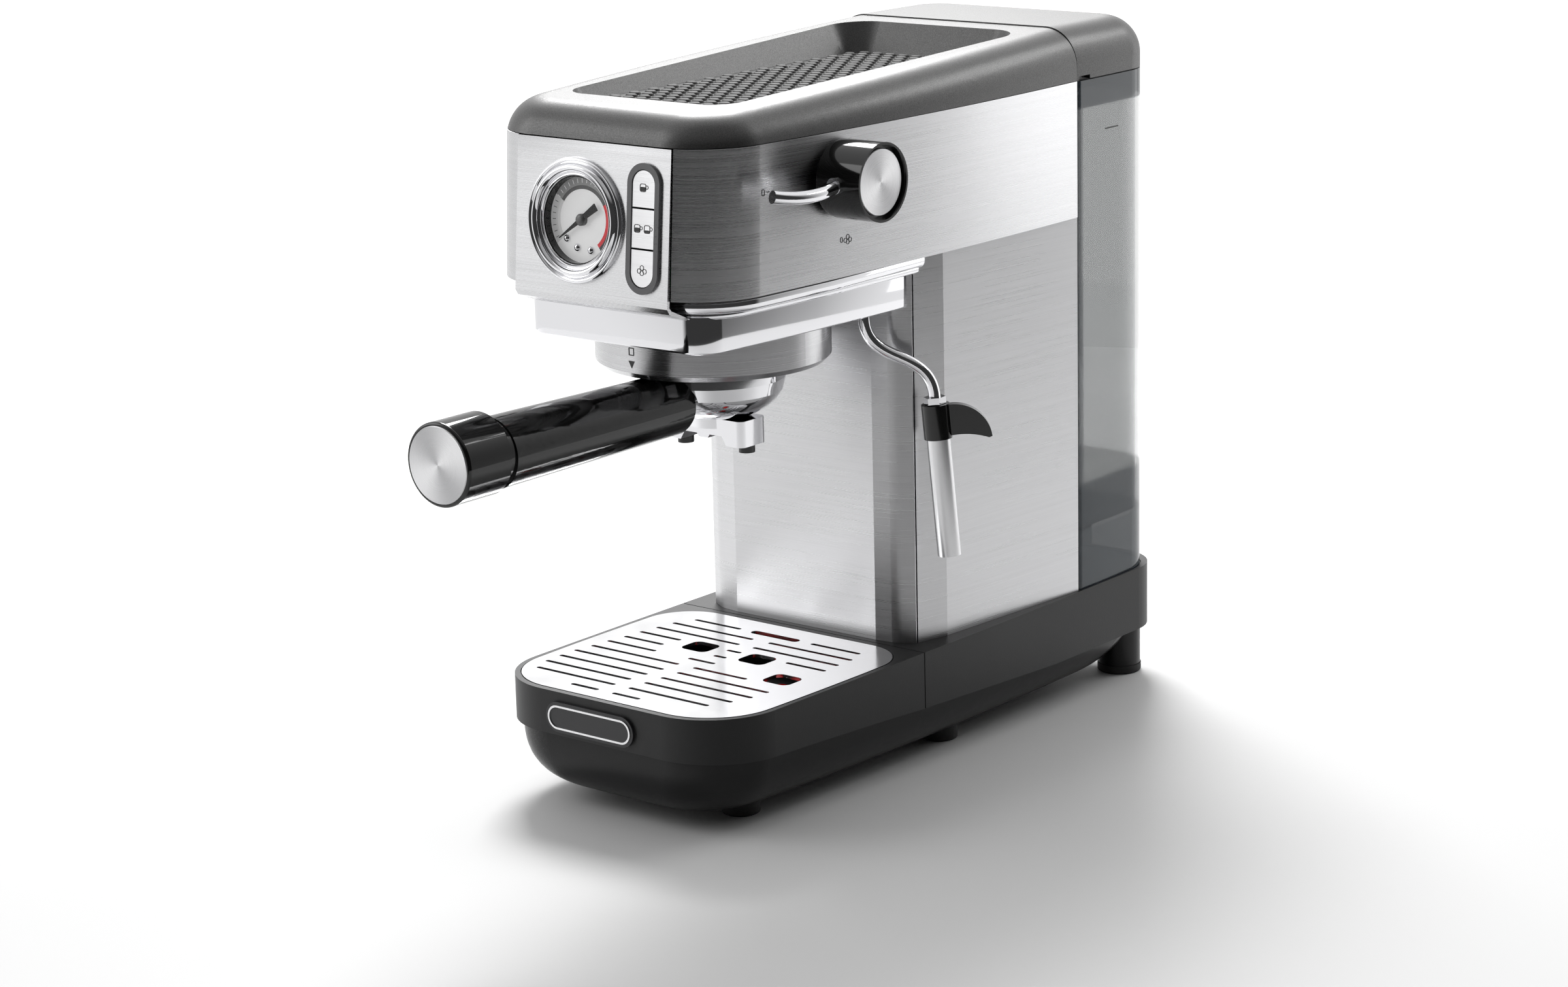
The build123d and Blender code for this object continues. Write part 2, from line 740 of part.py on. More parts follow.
with BuildPart() as shower_screen:
    add(
        turned(
            [
                (26.6, 195.3),
                (26.6, 193.4),
                (24.6, 192.4),
                (2.6, 192.4),
                (2.6, 193.2),
                (24.2, 193.2),
                (25.8, 194.0),
                (25.8, 195.3),
            ]
        )
    )
shower_screen.part.label = "shower_screen"
export_step(shower_screen.part, "parts/shower_screen.step")

# ---- Portafilter -------------------------------------------------------------
rim_z = 193.8
with BuildPart() as portafilter_bowl:
    with BuildSketch(Plane.XZ.offset(-group_y)):
        with BuildLine():
            outer = Polyline(
                (34.6, rim_z - 1.1), (34.6, 190.6), (bowl_r, 188.6), (bowl_r, 180), (29.6, 174.5)
            )
            hip = ThreePointArc(outer @ 1, (23, 167), (9.5, 163.6))
            Polyline(
                hip @ 1,
                (9.5, 159.5),
                (3.2, 159.5),
                (3.2, 166.2),
                (9, 167.6),
                (24, 171.4),
                (27.6, 175.4),
                (29.2, 181),
                (29.2, rim_z - 1.1),
                outer @ 0,
            )
        make_face()
    revolve(axis=Axis((0, group_y, 0), (0, 0, 1)))
    # two lugs that ride on the ramps
    with BuildSketch(Plane.XY.offset(190.4)):
        with Locations((0, group_y)):
            Circle(38.1)
            Circle(33, mode=Mode.SUBTRACT)
            Rectangle(120, 30, mode=Mode.INTERSECT)
    extrude(amount=2.2)
portafilter_bowl.part.label = "portafilter_bowl"
export_step(portafilter_bowl.part, "parts/portafilter_bowl.step")

# Filter basket: thin cup whose lip rests on the bowl's rim.
with BuildPart() as filter_basket:
    add(
        turned(
            [
                (34.2, rim_z - 1.0),
                (34.2, rim_z - 0.2),
                (27.6, rim_z - 0.2),
                (26.2, 176.8),
                (24.0, 174.4),
                (0, 174.4),
                (0, 173.6),
                (24.4, 173.6),
                (27.0, 176.4),
                (28.4, rim_z - 1.0),
            ]
        )
    )
filter_basket.part.label = "filter_basket"
export_step(filter_basket.part, "parts/filter_basket.step")

# Neck: the steel arm from the bowl into the handle.
with BuildPart() as portafilter_neck:
    with BuildSketch(Plane.XZ.offset(-(group_y - 30.4))):
        with Locations((0, handle_z + 1)):
            Circle(6)
    extrude(amount=60)
    add(turned([(0, 150), (bowl_r, 150), (bowl_r, 188), (0, 188)]), mode=Mode.SUBTRACT)
portafilter_neck.part.label = "portafilter_neck"
export_step(portafilter_neck.part, "parts/portafilter_neck.step")

# Handle: glossy black grip, thinner at the neck, with a larger end cap.
handle_root_y = -107.5
handle_cap_y = -229.0
handle_end_y = -253.2
with BuildPart() as portafilter_handle:
    with BuildSketch(Plane.XZ.offset(-handle_root_y)):
        with Locations((0, handle_z - 0.2)):
            Circle(13.4)
    with BuildSketch(Plane.XZ.offset(-(handle_root_y - 40))):
        with Locations((0, handle_z)):
            Circle(14.0)
    with BuildSketch(Plane.XZ.offset(-(handle_cap_y + 6))):
        with Locations((0, handle_z + 0.4)):
            Circle(15.0)
    loft()
    with BuildSketch(Plane.XZ.offset(-(handle_cap_y + 6))):
        with Locations((0, handle_z + 0.8)):
            Circle(14.2)
    extrude(amount=6.5)
    with BuildSketch(Plane.XZ.offset(-handle_cap_y)):
        with Locations((0, handle_z + 1.6)):
            Circle(17.4)
    extrude(amount=handle_cap_y - handle_end_y)
    fillet(portafilter_handle.edges().group_by(Axis.Y)[0], 1.2)
    # seat for the end disc, and the neck's bore
    with BuildSketch(Plane.XZ.offset(-handle_end_y)):
        with Locations((0, handle_z + 1.6)):
            Circle(16.0)
    extrude(amount=-1.6, mode=Mode.SUBTRACT)
    add(turned([(0, 150), (bowl_r + 0.2, 150), (bowl_r + 0.2, 196), (0, 196)]), mode=Mode.SUBTRACT)
    with BuildSketch(Plane.XZ.offset(-handle_root_y + 0.1)):
        with Locations((0, handle_z + 1)):
            Circle(6.05)
    extrude(amount=68, mode=Mode.SUBTRACT)
    # thumb notch over the neck
    with Locations((0, -131, 186)):
        Box(9, 9, 18, mode=Mode.SUBTRACT)
portafilter_handle.part.label = "portafilter_handle"
export_step(portafilter_handle.part, "parts/portafilter_handle.step")

with BuildPart() as handle_disc:
    with BuildSketch(Plane.XZ.offset(-handle_end_y - 1.55)):
        with Locations((0, handle_z + 1.6)):
            Circle(15.9)
    extrude(amount=1.8)
    chamfer(handle_disc.edges().group_by(Axis.Y)[0], 0.3)
handle_disc.part.label = "handle_disc"
export_step(handle_disc.part, "parts/handle_disc.step")

# Twin spout: a cast block across the bowl's outlet with two drilled legs.
spout_x = 17.2
with BuildPart() as spout_block:
    with BuildSketch(Plane.XZ.offset(-group_y - 8.5)):
        with BuildLine():
            Polyline(
                (-21.6, 152),
                (-12.8, 152),
                (-10.4, 156),
                (-3.6, 156),
                (-2.6, 154.4),
                (2.6, 154.4),
                (3.6, 156),
                (10.4, 156),
                (12.8, 152),
                (21.6, 152),
                (21.6, 163.4),
                (-21.6, 163.4),
                close=True,
            )
        make_face()
    extrude(amount=17)
    fillet(spout_block.edges().filter_by(Axis.Z), 3)
    with BuildSketch(Plane.XY.offset(159)):
        with Locations((0, group_y)):
            Circle(11.5)
    extrude(amount=4)
    # channel from the outlet to both legs
    with BuildSketch(Plane.XY.offset(158.2)):
        with Locations((0, group_y)):
            SlotOverall(2 * spout_x + 6, 6)
    extrude(amount=10, mode=Mode.SUBTRACT)
    with BuildSketch(Plane.XY.offset(159.4)):
        with Locations((0, group_y)):
            Circle(9.6)
    extrude(amount=10, mode=Mode.SUBTRACT)
    with BuildSketch(Plane.XY.offset(150)):
        with Locations((-spout_x, group_y), (spout_x, group_y)):
            Circle(2.2)
    extrude(amount=10, mode=Mode.SUBTRACT)
spout_block.part.label = "spout_block"
export_step(spout_block.part, "parts/spout_block.step")

with BuildPart() as spout_tips:
    with BuildSketch(Plane.XY.offset(148.6)):
        with Locations((-spout_x, group_y), (spout_x, group_y)):
            Circle(3.6)
            Circle(2.2, mode=Mode.SUBTRACT)
    extrude(amount=3.35)
spout_tips.part.label = "spout_tips"
export_step(spout_tips.part, "parts/spout_tips.step")

# ---- Pressure gauge ----------------------------------------------------------
gauge_tilt = front_plane(gauge_x, gauge_z)


def gauge_ring(outer, inner, proud, deep):
    """Ring on the gauge axis, from proud of the panel to deep behind it."""
    with BuildPart() as ring:
        with BuildSketch(gauge_tilt.offset(-deep)):
            Circle(outer)
            if inner > 0:
                Circle(inner, mode=Mode.SUBTRACT)
        extrude(amount=proud + deep)
    return ring.part


with BuildPart() as gauge_bezel:
    add(gauge_ring(gauge_r, 21.4, 3.2, 0.0))
    add(gauge_ring(23.6, 21.4, 0.2, 6.0))
    fillet(gauge_bezel.edges().group_by(Axis.Y)[0], 0.9)
gauge_bezel.part.label = "gauge_bezel"
export_step(gauge_bezel.part, "parts/gauge_bezel.step")

with BuildPart() as gauge_case:
    add(gauge_ring(21.0, 0, -3.0, 26.0))
    add(gauge_ring(19.4, 0, 0, 5.0), mode=Mode.SUBTRACT)
    with BuildSketch(gauge_tilt.offset(-26)):
        Rectangle(9, 9)
    extrude(amount=-9)
    with BuildSketch(gauge_tilt.offset(-2)):
        Circle(1.05)
    extrude(amount=-8, mode=Mode.SUBTRACT)
gauge_case.part.label = "gauge_case"
export_step(gauge_case.part, "parts/gauge_case.step")

with BuildPart() as gauge_dial:
    add(gauge_ring(19.2, 1.05, -4.2, 4.9))
gauge_dial.part.label = "gauge_dial"
export_step(gauge_dial.part, "parts/gauge_dial.step")

needle_angle = 225.0  # points down and to the left
with BuildPart() as gauge_needle:
    with BuildSketch(gauge_tilt.offset(-2.9)):
        Circle(2.2)
        with BuildLine():
            reach = (15.0 * cos(radians(needle_angle)), 15.0 * sin(radians(needle_angle)))
            tail = (-8.5 * cos(radians(needle_angle)), -8.5 * sin(radians(needle_angle)))
            side_x = 0.9 * sin(radians(needle_angle))
            side_y = -0.9 * cos(radians(needle_angle))
            Polyline(
                reach,
                (side_x, side_y),
                (tail[0] + 1.8 * side_x, tail[1] + 1.8 * side_y),
                (tail[0] - 1.8 * side_x, tail[1] - 1.8 * side_y),
                (-side_x, -side_y),
                close=True,
            )
        make_face()
    extrude(amount=0.6)
    with BuildSketch(gauge_tilt.offset(-6.5)):
        Circle(1.0)
    extrude(amount=4)
gauge_needle.part.label = "gauge_needle"
export_step(gauge_needle.part, "parts/gauge_needle.step")

with BuildPart() as gauge_lens:
    add(gauge_ring(21.3, 0, 2.2, -1.0))
gauge_lens.part.label = "gauge_lens"
export_step(gauge_lens.part, "parts/gauge_lens.step")

# ---- Buttons -----------------------------------------------------------------
button_plane = front_plane(buttons_x, buttons_z)
button_pitch = 16.6
with BuildPart() as button_surround:
    with BuildSketch(button_plane.offset(-7)):
        SlotOverall(50.4, 14.6, rotation=90)
        SlotOverall(48.2, 12.4, rotation=90, mode=Mode.SUBTRACT)
    extrude(amount=7.5)
    with BuildSketch(button_plane.offset(0.02)):
        SlotOverall(53.4, 17.2, rotation=90)
        SlotOverall(48.2, 12.4, rotation=90, mode=Mode.SUBTRACT)
    extrude(amount=1.3)
button_surround.part.label = "button_surround"
export_step(button_surround.part, "parts/button_surround.step")

for place, label in ((1, "button_one_cup"), (0, "button_two_cups"), (-1, "button_steam")):
    with BuildPart() as button:
        with BuildSketch(button_plane.offset(-6)):
            SlotOverall(47.4, 11.6, rotation=90)
            with Locations((0, place * (button_pitch + (20 if place else 0) / 2))):
                Rectangle(12, button_pitch - 0.8 + (20 if place else 0), mode=Mode.INTERSECT)
        extrude(amount=6.9)
    button.part.label = label
    export_step(button.part, f"parts/{label}.step")

# ---- Steam knob --------------------------------------------------------------
knob_axis = Plane(origin=(0, knob_y, knob_z), x_dir=(0, 1, 0), z_dir=(1, 0, 0))
knob_base_x = 70.4
with BuildPart() as steam_knob:
    with BuildSketch(knob_axis.offset(knob_base_x)):
        Circle(knob_r - 0.5)
    extrude(amount=2)
    with BuildSketch(knob_axis.offset(knob_base_x + 2)):
        Circle(knob_r)
    extrude(amount=knob_face_x - knob_base_x - 2)
    with BuildSketch(knob_axis.offset(knob_face_x)):
        Circle(knob_r - 1.0)
    extrude(amount=-3.0, taper=8, mode=Mode.SUBTRACT)
    with BuildSketch(knob_axis.offset(50)):
        Circle(3.0)
    extrude(amount=30)
steam_knob.part.label = "steam_knob"
export_step(steam_knob.part, "parts/steam_knob.step")

with BuildPart() as knob_disc:
    with BuildSketch(knob_axis.offset(knob_face_x - 2.95)):
        Circle(13.9)
    extrude(amount=1.6)
    chamfer(knob_disc.edges().group_by(Axis.X)[-1], 0.3)
knob_disc.part.label = "knob_disc"
export_step(knob_disc.part, "parts/knob_disc.step")

# Lever on the knob's side, bowed outwards.
with BuildPart() as knob_lever:
    with BuildLine() as lever_path:
        Spline(
            (81.5, knob_y - knob_r + 1.2, knob_z),
            (82.6, -113, knob_z - 1.6),
            (81.6, -125, knob_z - 1.4),
            (78.6, -137, knob_z + 0.4),
        )
    with BuildSketch(Plane(origin=lever_path.line @ 0, z_dir=lever_path.line % 0)):
        Circle(2.7)
    sweep()
    with BuildSketch(Plane(origin=(81.5, knob_y - knob_r + 0.6, knob_z), z_dir=(0, -1, 0))):
        Circle(3.5)
    extrude(amount=2.6)
    with Locations(Location((81, knob_y, knob_z), (0, 90, 0))):
        Cylinder(knob_r, 30, mode=Mode.SUBTRACT)
knob_lever.part.label = "knob_lever"
export_step(knob_lever.part, "parts/knob_lever.step")

# Steam valve body behind the side panel.
with BuildPart() as steam_valve:
    with BuildSketch(knob_axis.offset(42)):
        Circle(9)
    extrude(amount=24)
    with BuildSketch(knob_axis.offset(40)):
        Circle(3.05)
    extrude(amount=30, mode=Mode.SUBTRACT)
    with BuildSketch(knob_axis.offset(38)):
        Rectangle(22, 16)
    extrude(amount=5)
steam_valve.part.label = "steam_valve"
export_step(steam_valve.part, "parts/steam_valve.step")

# ---- Steam wand --------------------------------------------------------------
tube_r = 2.6
wand_dir = Vector(0.07, 0.04, -1).normalized()
nut_top = Vector(69.0, -18.6, 167.0)  # end of the bent tube, top of the frother
wand_pull = 22.0  # how far the bend runs on from each end
with BuildPart() as steam_wand:
    with BuildLine() as wand_path:
        Line((*wand_xy, 212), (*wand_xy, 203))
        Bezier(
            (*wand_xy, 203),
            (*wand_xy, 203 - wand_pull),
            tuple(nut_top - wand_dir * wand_pull),
            tuple(nut_top),
        )
        Line(tuple(nut_top), tuple(nut_top + wand_dir * 26))
    with BuildSketch(Plane(origin=(*wand_xy, 212), z_dir=(0, 0, -1))):
        Circle(tube_r)
    sweep()
    # collar that holds the tube in the band
    with BuildSketch(Plane.XY.offset(band_low + wall + 0.3)):
        with Locations(wand_xy):
            Circle(4.3)
            Circle(tube_r - 0.2, mode=Mode.SUBTRACT)
    extrude(amount=3)
steam_wand.part.label = "steam_wand"
export_step(steam_wand.part, "parts/steam_wand.step")

# Frother on the wand: nut, black grip with a fin, and a steel sleeve.


def wand_plane(down):
    """Plane across the wand, a distance below the top of its nut."""
    return Plane(origin=nut_top + wand_dir * down, x_dir=(0, 1, 0), z_dir=-wand_dir)


with BuildPart() as wand_nut:
    with BuildSketch(wand_plane(3.2)):
        RegularPolygon(4.9, 6)
        Circle(tube_r + 0.02, mode=Mode.SUBTRACT)
    extrude(amount=3.0)
wand_nut.part.label = "wand_nut"
export_step(wand_nut.part, "parts/wand_nut.step")

fin_angle = 38.0
with BuildPart() as wand_grip:
    with BuildSketch(wand_plane(18.6)):
        Circle(6.2)
        Circle(tube_r + 0.3, mode=Mode.SUBTRACT)
    extrude(amount=15.2)
    fillet(wand_grip.edges().group_by(Axis.Z)[-1], 0.5)
    with BuildSketch(
        Plane(
            origin=nut_top + wand_dir * 11,
            x_dir=(cos(radians(fin_angle)), sin(radians(fin_angle)), 0),
            z_dir=(sin(radians(fin_angle)), -cos(radians(fin_angle)), 0),
        ).offset(-2.2)
    ):
        with BuildLine():
            top = ThreePointArc((4.0, 7.3), (17.5, 4.5), (24.0, -6.6))
            under = ThreePointArc((22.6, -7.2), (14, -5.6), (4.0, -6.6))
            Line(top @ 1, under @ 0)
            Line(under @ 1, top @ 0)
        make_face()
    extrude(amount=4.4)
wand_grip.part.label = "wand_grip"
export_step(wand_grip.part, "parts/wand_grip.step")

with BuildPart() as frother_sleeve:
    with BuildSketch(wand_plane(71.0)):
        Circle(5.2)
        Circle(4.5, mode=Mode.SUBTRACT)
    extrude(amount=52.2)
    with BuildSketch(wand_plane(24.0)):
        Circle(4.7)
        Circle(tube_r + 0.3, mode=Mode.SUBTRACT)
    extrude(amount=5.2)
frother_sleeve.part.label = "frother_sleeve"
export_step(frother_sleeve.part, "parts/frother_sleeve.step")

# ---- Inside: boiler, pump, hoses and electrics -------------------------------
with BuildPart() as boiler:
    add(
        turned(
            [(0, 213.1), (43, 213.1), (43, 217), (36, 217), (36, 244), (30, 252), (0, 254)]
        )
    )
    with Locations((0, group_y, 200)):
        Cylinder(2.55, 60, mode=Mode.SUBTRACT)
boiler.part.label = "boiler"
export_step(boiler.part, "parts/boiler.step")

with BuildPart() as thermostats:
    with BuildSketch(Plane.XY.offset(254.0)):
        with Locations((-14, group_y), (12, group_y + 8)):
            Circle(7.5)
    extrude(amount=6)
thermostats.part.label = "thermostats"
export_step(thermostats.part, "parts/thermostats.step")

with BuildPart() as pump:
    with BuildSketch(Plane.XY.offset(70)):
        with Locations(pump_xy):
            RectangleRounded(46, 46, 4)
    extrude(amount=48)
    with BuildSketch(Plane.XY.offset(118)):
        with Locations(pump_xy):
            Circle(13)
    extrude(amount=20)
    with BuildSketch(Plane.XY.offset(50)):
        with Locations(pump_xy):
            Circle(11)
    extrude(amount=20)
pump.part.label = "pump"
export_step(pump.part, "parts/pump.step")

with BuildPart() as pump_mounts:
    for ring_z in (69.4 - 0.8, 121.0):
        with BuildSketch(Plane.XY.offset(ring_z)):
            with Locations(pump_xy):
                Circle(16)
                Circle(13.1, mode=Mode.SUBTRACT)
        extrude(amount=1.2 if ring_z < 100 else 5)
pump_mounts.part.label = "pump_mounts"
export_step(pump_mounts.part, "parts/pump_mounts.step")

# Hoses: tank seat to pump, and pump up to the boiler.
with BuildPart() as water_hoses:
    with BuildLine() as suction_path:
        FilletPolyline((0, 126, 46.1), (0, 126, 38), (0, 36, 38), (0, 36, 49.9), radius=5.5)
    with BuildSketch(Plane(origin=suction_path.line @ 0, z_dir=suction_path.line % 0)):
        Circle(3)
        Circle(1.8, mode=Mode.SUBTRACT)
    sweep(path=suction_path.line)
    with BuildLine() as pressure_path:
        FilletPolyline((0, 36, 138.1), (0, 36, 240), (0, -47.8, 240), radius=14)
    with BuildSketch(Plane(origin=pressure_path.line @ 0, z_dir=pressure_path.line % 0)):
        Circle(2.6)
        Circle(1.4, mode=Mode.SUBTRACT)
    sweep(path=pressure_path.line)
water_hoses.part.label = "water_hoses"
export_step(water_hoses.part, "parts/water_hoses.step")

# Circuit boards: the switch board behind the buttons, the power board on the bulkhead.
with BuildPart() as circuit_boards:
    with BuildSketch(button_plane.offset(-12)):
        RectangleRounded(17, 48, 2)
    extrude(amount=1.6)
    with BuildSketch(button_plane.offset(-10.4)):
        with GridLocations(0, button_pitch, 1, 3):
            Rectangle(6, 6)
    extrude(amount=2.2)
    with BuildSketch(Plane.XZ.offset(-88.0)):
        with Locations((0, 258)):
            RectangleRounded(84, 44, 2)
    extrude(amount=1.6)
    with BuildSketch(Plane.XZ.offset(-86.4)):
        with Locations((-24, 262), (2, 250), (24, 264)):
            Rectangle(16, 14)
    extrude(amount=12)
circuit_boards.part.label = "circuit_boards"
export_step(circuit_boards.part, "parts/circuit_boards.step")

# Mains inlet gland in the rear base.
with BuildPart() as cable_gland:
    with BuildSketch(Plane.XZ.offset(-(back_y + 3.5))):
        with Locations((-34, 43.5)):
            Circle(7)
            Circle(3.4, mode=Mode.SUBTRACT)
    extrude(amount=3.4)
    with BuildSketch(Plane.XZ.offset(-back_y - 0.1)):
        with Locations((-34, 43.5)):
            Circle(5)
            Circle(3.4, mode=Mode.SUBTRACT)
    extrude(amount=6)
cable_gland.part.label = "cable_gland"
export_step(cable_gland.part, "parts/cable_gland.step")

# Screws: one up through the shower screen, four in the underside of the chassis.
with BuildPart() as screws:
    add(turned([(0, 190.8), (4.6, 190.8), (4.6, 192.35), (2.5, 192.35), (2.5, 206), (0, 206)]))
    with BuildSketch(Plane.XY.offset(chassis_bottom + 0.1)):
        with Locations(*screw_places):
            Circle(3.4)
            Rectangle(4, 1, mode=Mode.SUBTRACT)
    extrude(amount=1.4)
screws.part.label = "screws"
export_step(screws.part, "parts/screws.step")
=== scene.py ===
import math

import bmesh
import bpy
from mathutils import Matrix, Vector


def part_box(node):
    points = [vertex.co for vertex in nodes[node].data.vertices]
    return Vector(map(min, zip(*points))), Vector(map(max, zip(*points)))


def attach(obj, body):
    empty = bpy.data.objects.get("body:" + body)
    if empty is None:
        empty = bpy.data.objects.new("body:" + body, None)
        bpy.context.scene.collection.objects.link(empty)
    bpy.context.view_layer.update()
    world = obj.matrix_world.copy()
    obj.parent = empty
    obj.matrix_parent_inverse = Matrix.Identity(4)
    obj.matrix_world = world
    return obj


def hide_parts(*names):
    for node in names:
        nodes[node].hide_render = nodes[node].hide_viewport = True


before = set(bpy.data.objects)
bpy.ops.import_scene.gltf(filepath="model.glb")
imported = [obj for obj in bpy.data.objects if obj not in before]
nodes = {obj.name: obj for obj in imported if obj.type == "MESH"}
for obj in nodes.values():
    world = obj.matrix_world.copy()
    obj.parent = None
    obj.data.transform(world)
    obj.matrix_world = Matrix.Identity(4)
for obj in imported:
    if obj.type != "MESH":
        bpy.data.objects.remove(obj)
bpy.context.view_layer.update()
bpy.ops.object.select_all(action="DESELECT")

# ---- Chassis -------------------------------------------------------------------
# The lower moulding is black ABS with a semi-gloss skin, a tub whose walls slant in
# to a smaller flat bottom. Four screws go up through it from below.


class Reading:
    """A number that changes over a surface and takes part in sums."""

    def __init__(self, tree, socket):
        self.tree = tree
        self.socket = socket

    def work(self, operation, first, second=0.0):
        settings = {"operation": operation}
        return self.tree.node("ShaderNodeMath", settings, {0: first, 1: second})

    def __add__(self, other):
        return self.work("ADD", self, other)

    def __sub__(self, other):
        return self.work("SUBTRACT", self, other)

    def __rsub__(self, other):
        return self.work("SUBTRACT", other, self)

    def __mul__(self, other):
        return self.work("MULTIPLY", self, other)

    def __lt__(self, other):
        return self.work("LESS_THAN", self, other)

    def __gt__(self, other):
        return self.work("GREATER_THAN", self, other)

    def __mod__(self, other):
        return self.work("FLOORED_MODULO", self, other)

    def __pow__(self, other):
        return self.work("POWER", self, other)

    def __abs__(self):
        return self.work("ABSOLUTE", self)

    __radd__ = __add__
    __rmul__ = __mul__


class Tree:
    """The nodes of a finish or of the studio, with one way to add to them."""

    def __init__(self, tree):
        self.tree = tree

    def join(self, value, socket):
        if isinstance(value, Reading):
            self.tree.links.new(value.socket, socket)
        else:
            socket.default_value = value

    def node(self, kind, settings=None, sockets=None, out=0):
        made = self.tree.nodes.new(kind)
        for name, value in (settings or {}).items():
            setattr(made, name, value)
        for name, value in (sockets or {}).items():
            self.join(value, made.inputs[name])
        return Reading(self, made.outputs[out])


class Finish(Tree):
    """One real finish, such as brushed steel, and the map of what varies on it."""

    def __init__(self, name, colour, roughness, metallic=0.0):
        self.material = bpy.data.materials.new(name)
        self.material.use_nodes = True
        super().__init__(self.material.node_tree)
        self.shader = self.tree.nodes["Principled BSDF"]
        self.feed(Base_Color=(*colour, 1), Roughness=roughness, Metallic=metallic)
        self.place = self.node("ShaderNodeTexCoord", out="Object")

    def feed(self, **sockets):
        for name, value in sockets.items():
            self.join(value, self.shader.inputs[name.replace("_", " ")])

    def axis(self, letter):
        return self.node("ShaderNodeSeparateXYZ", None, {0: self.place}, letter)

    def stretched(self, stretch):
        return self.node(
            "ShaderNodeMapping", None, {"Vector": self.place, "Scale": stretch}
        )

    def noise(self, scale, detail=2.0, stretch=(1, 1, 1)):
        sockets = {"Vector": self.stretched(stretch), "Scale": scale, "Detail": detail}
        return self.node("ShaderNodeTexNoise", None, sockets, "Fac")

    def ramp(self, value, low, high):
        """0 below low and 1 above high."""
        sockets = {"Value": value, "From Min": low, "From Max": high}
        return self.node("ShaderNodeMapRange", {"clamp": True}, sockets)

    def tint(self, mask, first, second):
        """A colour that turns from the first to the second as the mask rises."""
        sides = {0: mask}
        for side, colour in ((6, first), (7, second)):
            sides[side] = colour if isinstance(colour, Reading) else (*colour, 1)
        return self.node("ShaderNodeMix", {"data_type": "RGBA"}, sides, 2)

    def relief(self, height, strength, depth):
        sockets = {"Height": height, "Strength": strength, "Distance": depth}
        self.feed(Normal=self.node("ShaderNodeBump", None, sockets, "Normal"))

    def cover(self, *names):
        """Gives this finish to every slot of these carried-over nodes."""
        for name in names:
            self.dress(nodes[name])

    def dress(self, piece):
        if not piece.data.materials:
            piece.data.materials.append(self.material)
        for place in range(len(piece.data.materials)):
            piece.data.materials[place] = self.material
        return piece


def moulded(name, dark, light, roughness, grain, strength):
    """Moulded plastic: a fine leathery grain with slow changes of tone."""
    finish = Finish(name, dark, roughness)
    slow = finish.noise(14, 3)
    fine = finish.noise(grain, 2)
    finish.feed(Base_Color=finish.tint(slow, dark, light))
    finish.feed(Roughness=roughness + (slow - 0.5) * 0.12 + (fine - 0.5) * 0.08)
    finish.relief(fine, strength, 0.0002)
    return finish


chassis_black = moulded(
    "chassis_black", (0.0025, 0.0025, 0.003), (0.005, 0.005, 0.0055), 0.3, 1500, 0.1
)
chassis_black.feed(Specular_IOR_Level=0.3)
chassis_black.cover("chassis", "rear_foot_posts", "column_frame", "cable_gland")

# ---- Feet ----------------------------------------------------------------------
# Four soft rubber pads sit under the chassis, and two more close the tall posts that
# carry the rear of the machine. Seals and pump mounts are the same rubber.
foot_rubber = moulded(
    "foot_rubber", (0.010, 0.010, 0.010), (0.018, 0.018, 0.018), 0.7, 900, 0.3
)
foot_rubber.cover("chassis_feet", "rear_foot_pads", "group_gasket", "tank_seat")
foot_rubber.cover("pump_mounts")

# ---- Base mouldings ------------------------------------------------------------
# The rear base and the pull-out drip tray are graphite-grey plastic with a satin
# skin; the tray slides off to the front along the seam between them.
graphite = moulded(
    "graphite_satin", (0.011, 0.011, 0.0115), (0.017, 0.017, 0.0175), 0.45, 1800, 0.15
)
graphite.feed(Specular_IOR_Level=0.35)
graphite.cover("rear_base", "drip_tray")

# ---- Drip grid -----------------------------------------------------------------
# A stamped plate of polished stainless steel, with slots for the drips and windows
# for the float, lies loose and flush in the tray's rim.
grid_steel = Finish("grid_polished_steel", (0.86, 0.86, 0.87), 0.16, 1.0)
grid_haze = grid_steel.noise(60, 4)
grid_steel.feed(Roughness=0.12 + grid_haze * 0.12)
grid_steel.relief(grid_steel.noise(20, 2), 0.05, 0.001)
grid_steel.cover("drip_grid")

# ---- Float ---------------------------------------------------------------------
# A red moulded float lies under the grid, and rises into its window when the tray
# is full.
float_red = moulded(
    "float_red", (0.62, 0.008, 0.008), (0.75, 0.016, 0.014), 0.25, 700, 0.1
)
float_red.cover("tray_float")

# ---- Name plate ----------------------------------------------------------------
# A blank stadium-shaped plate of dark plastic is glued to the tray's front, inside
# a raised rim of polished metal.
plate_dark = moulded(
    "plate_dark", (0.012, 0.012, 0.014), (0.02, 0.02, 0.022), 0.3, 1200, 0.1
)
plate_dark.cover("badge_plate")
MM = 0.001


def settle(piece, name, finish, body, fold=35):
    """Applies the piece's place, turns its faces outwards and gives it its finish."""
    bpy.ops.object.mode_set(mode="OBJECT")
    bpy.ops.object.transform_apply(location=True, rotation=True, scale=True)
    bpy.ops.object.mode_set(mode="EDIT")
    bpy.ops.mesh.select_all(action="SELECT")
    bpy.ops.mesh.remove_doubles(threshold=0.000001)
    bpy.ops.mesh.normals_make_consistent(inside=False)
    bpy.ops.object.mode_set(mode="OBJECT")
    bpy.ops.object.shade_smooth_by_angle(angle=math.radians(fold))
    piece.name = name
    finish.dress(piece)
    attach(piece, body)
    bpy.ops.object.select_all(action="DESELECT")
    return piece


def stand(piece, place, along=(0, 0, 1), across=(1, 0, 0)):
    """Turns the piece's Z to run along, and puts it at a place in millimetres."""
    up = Vector(along).normalized()
    side = Vector(across)
    side = (side - up * side.dot(up)).normalized()
    turn = Matrix((side, up.cross(side), up)).transposed().to_4x4()
    piece.matrix_world = Matrix.Translation(Vector(place) * MM) @ turn


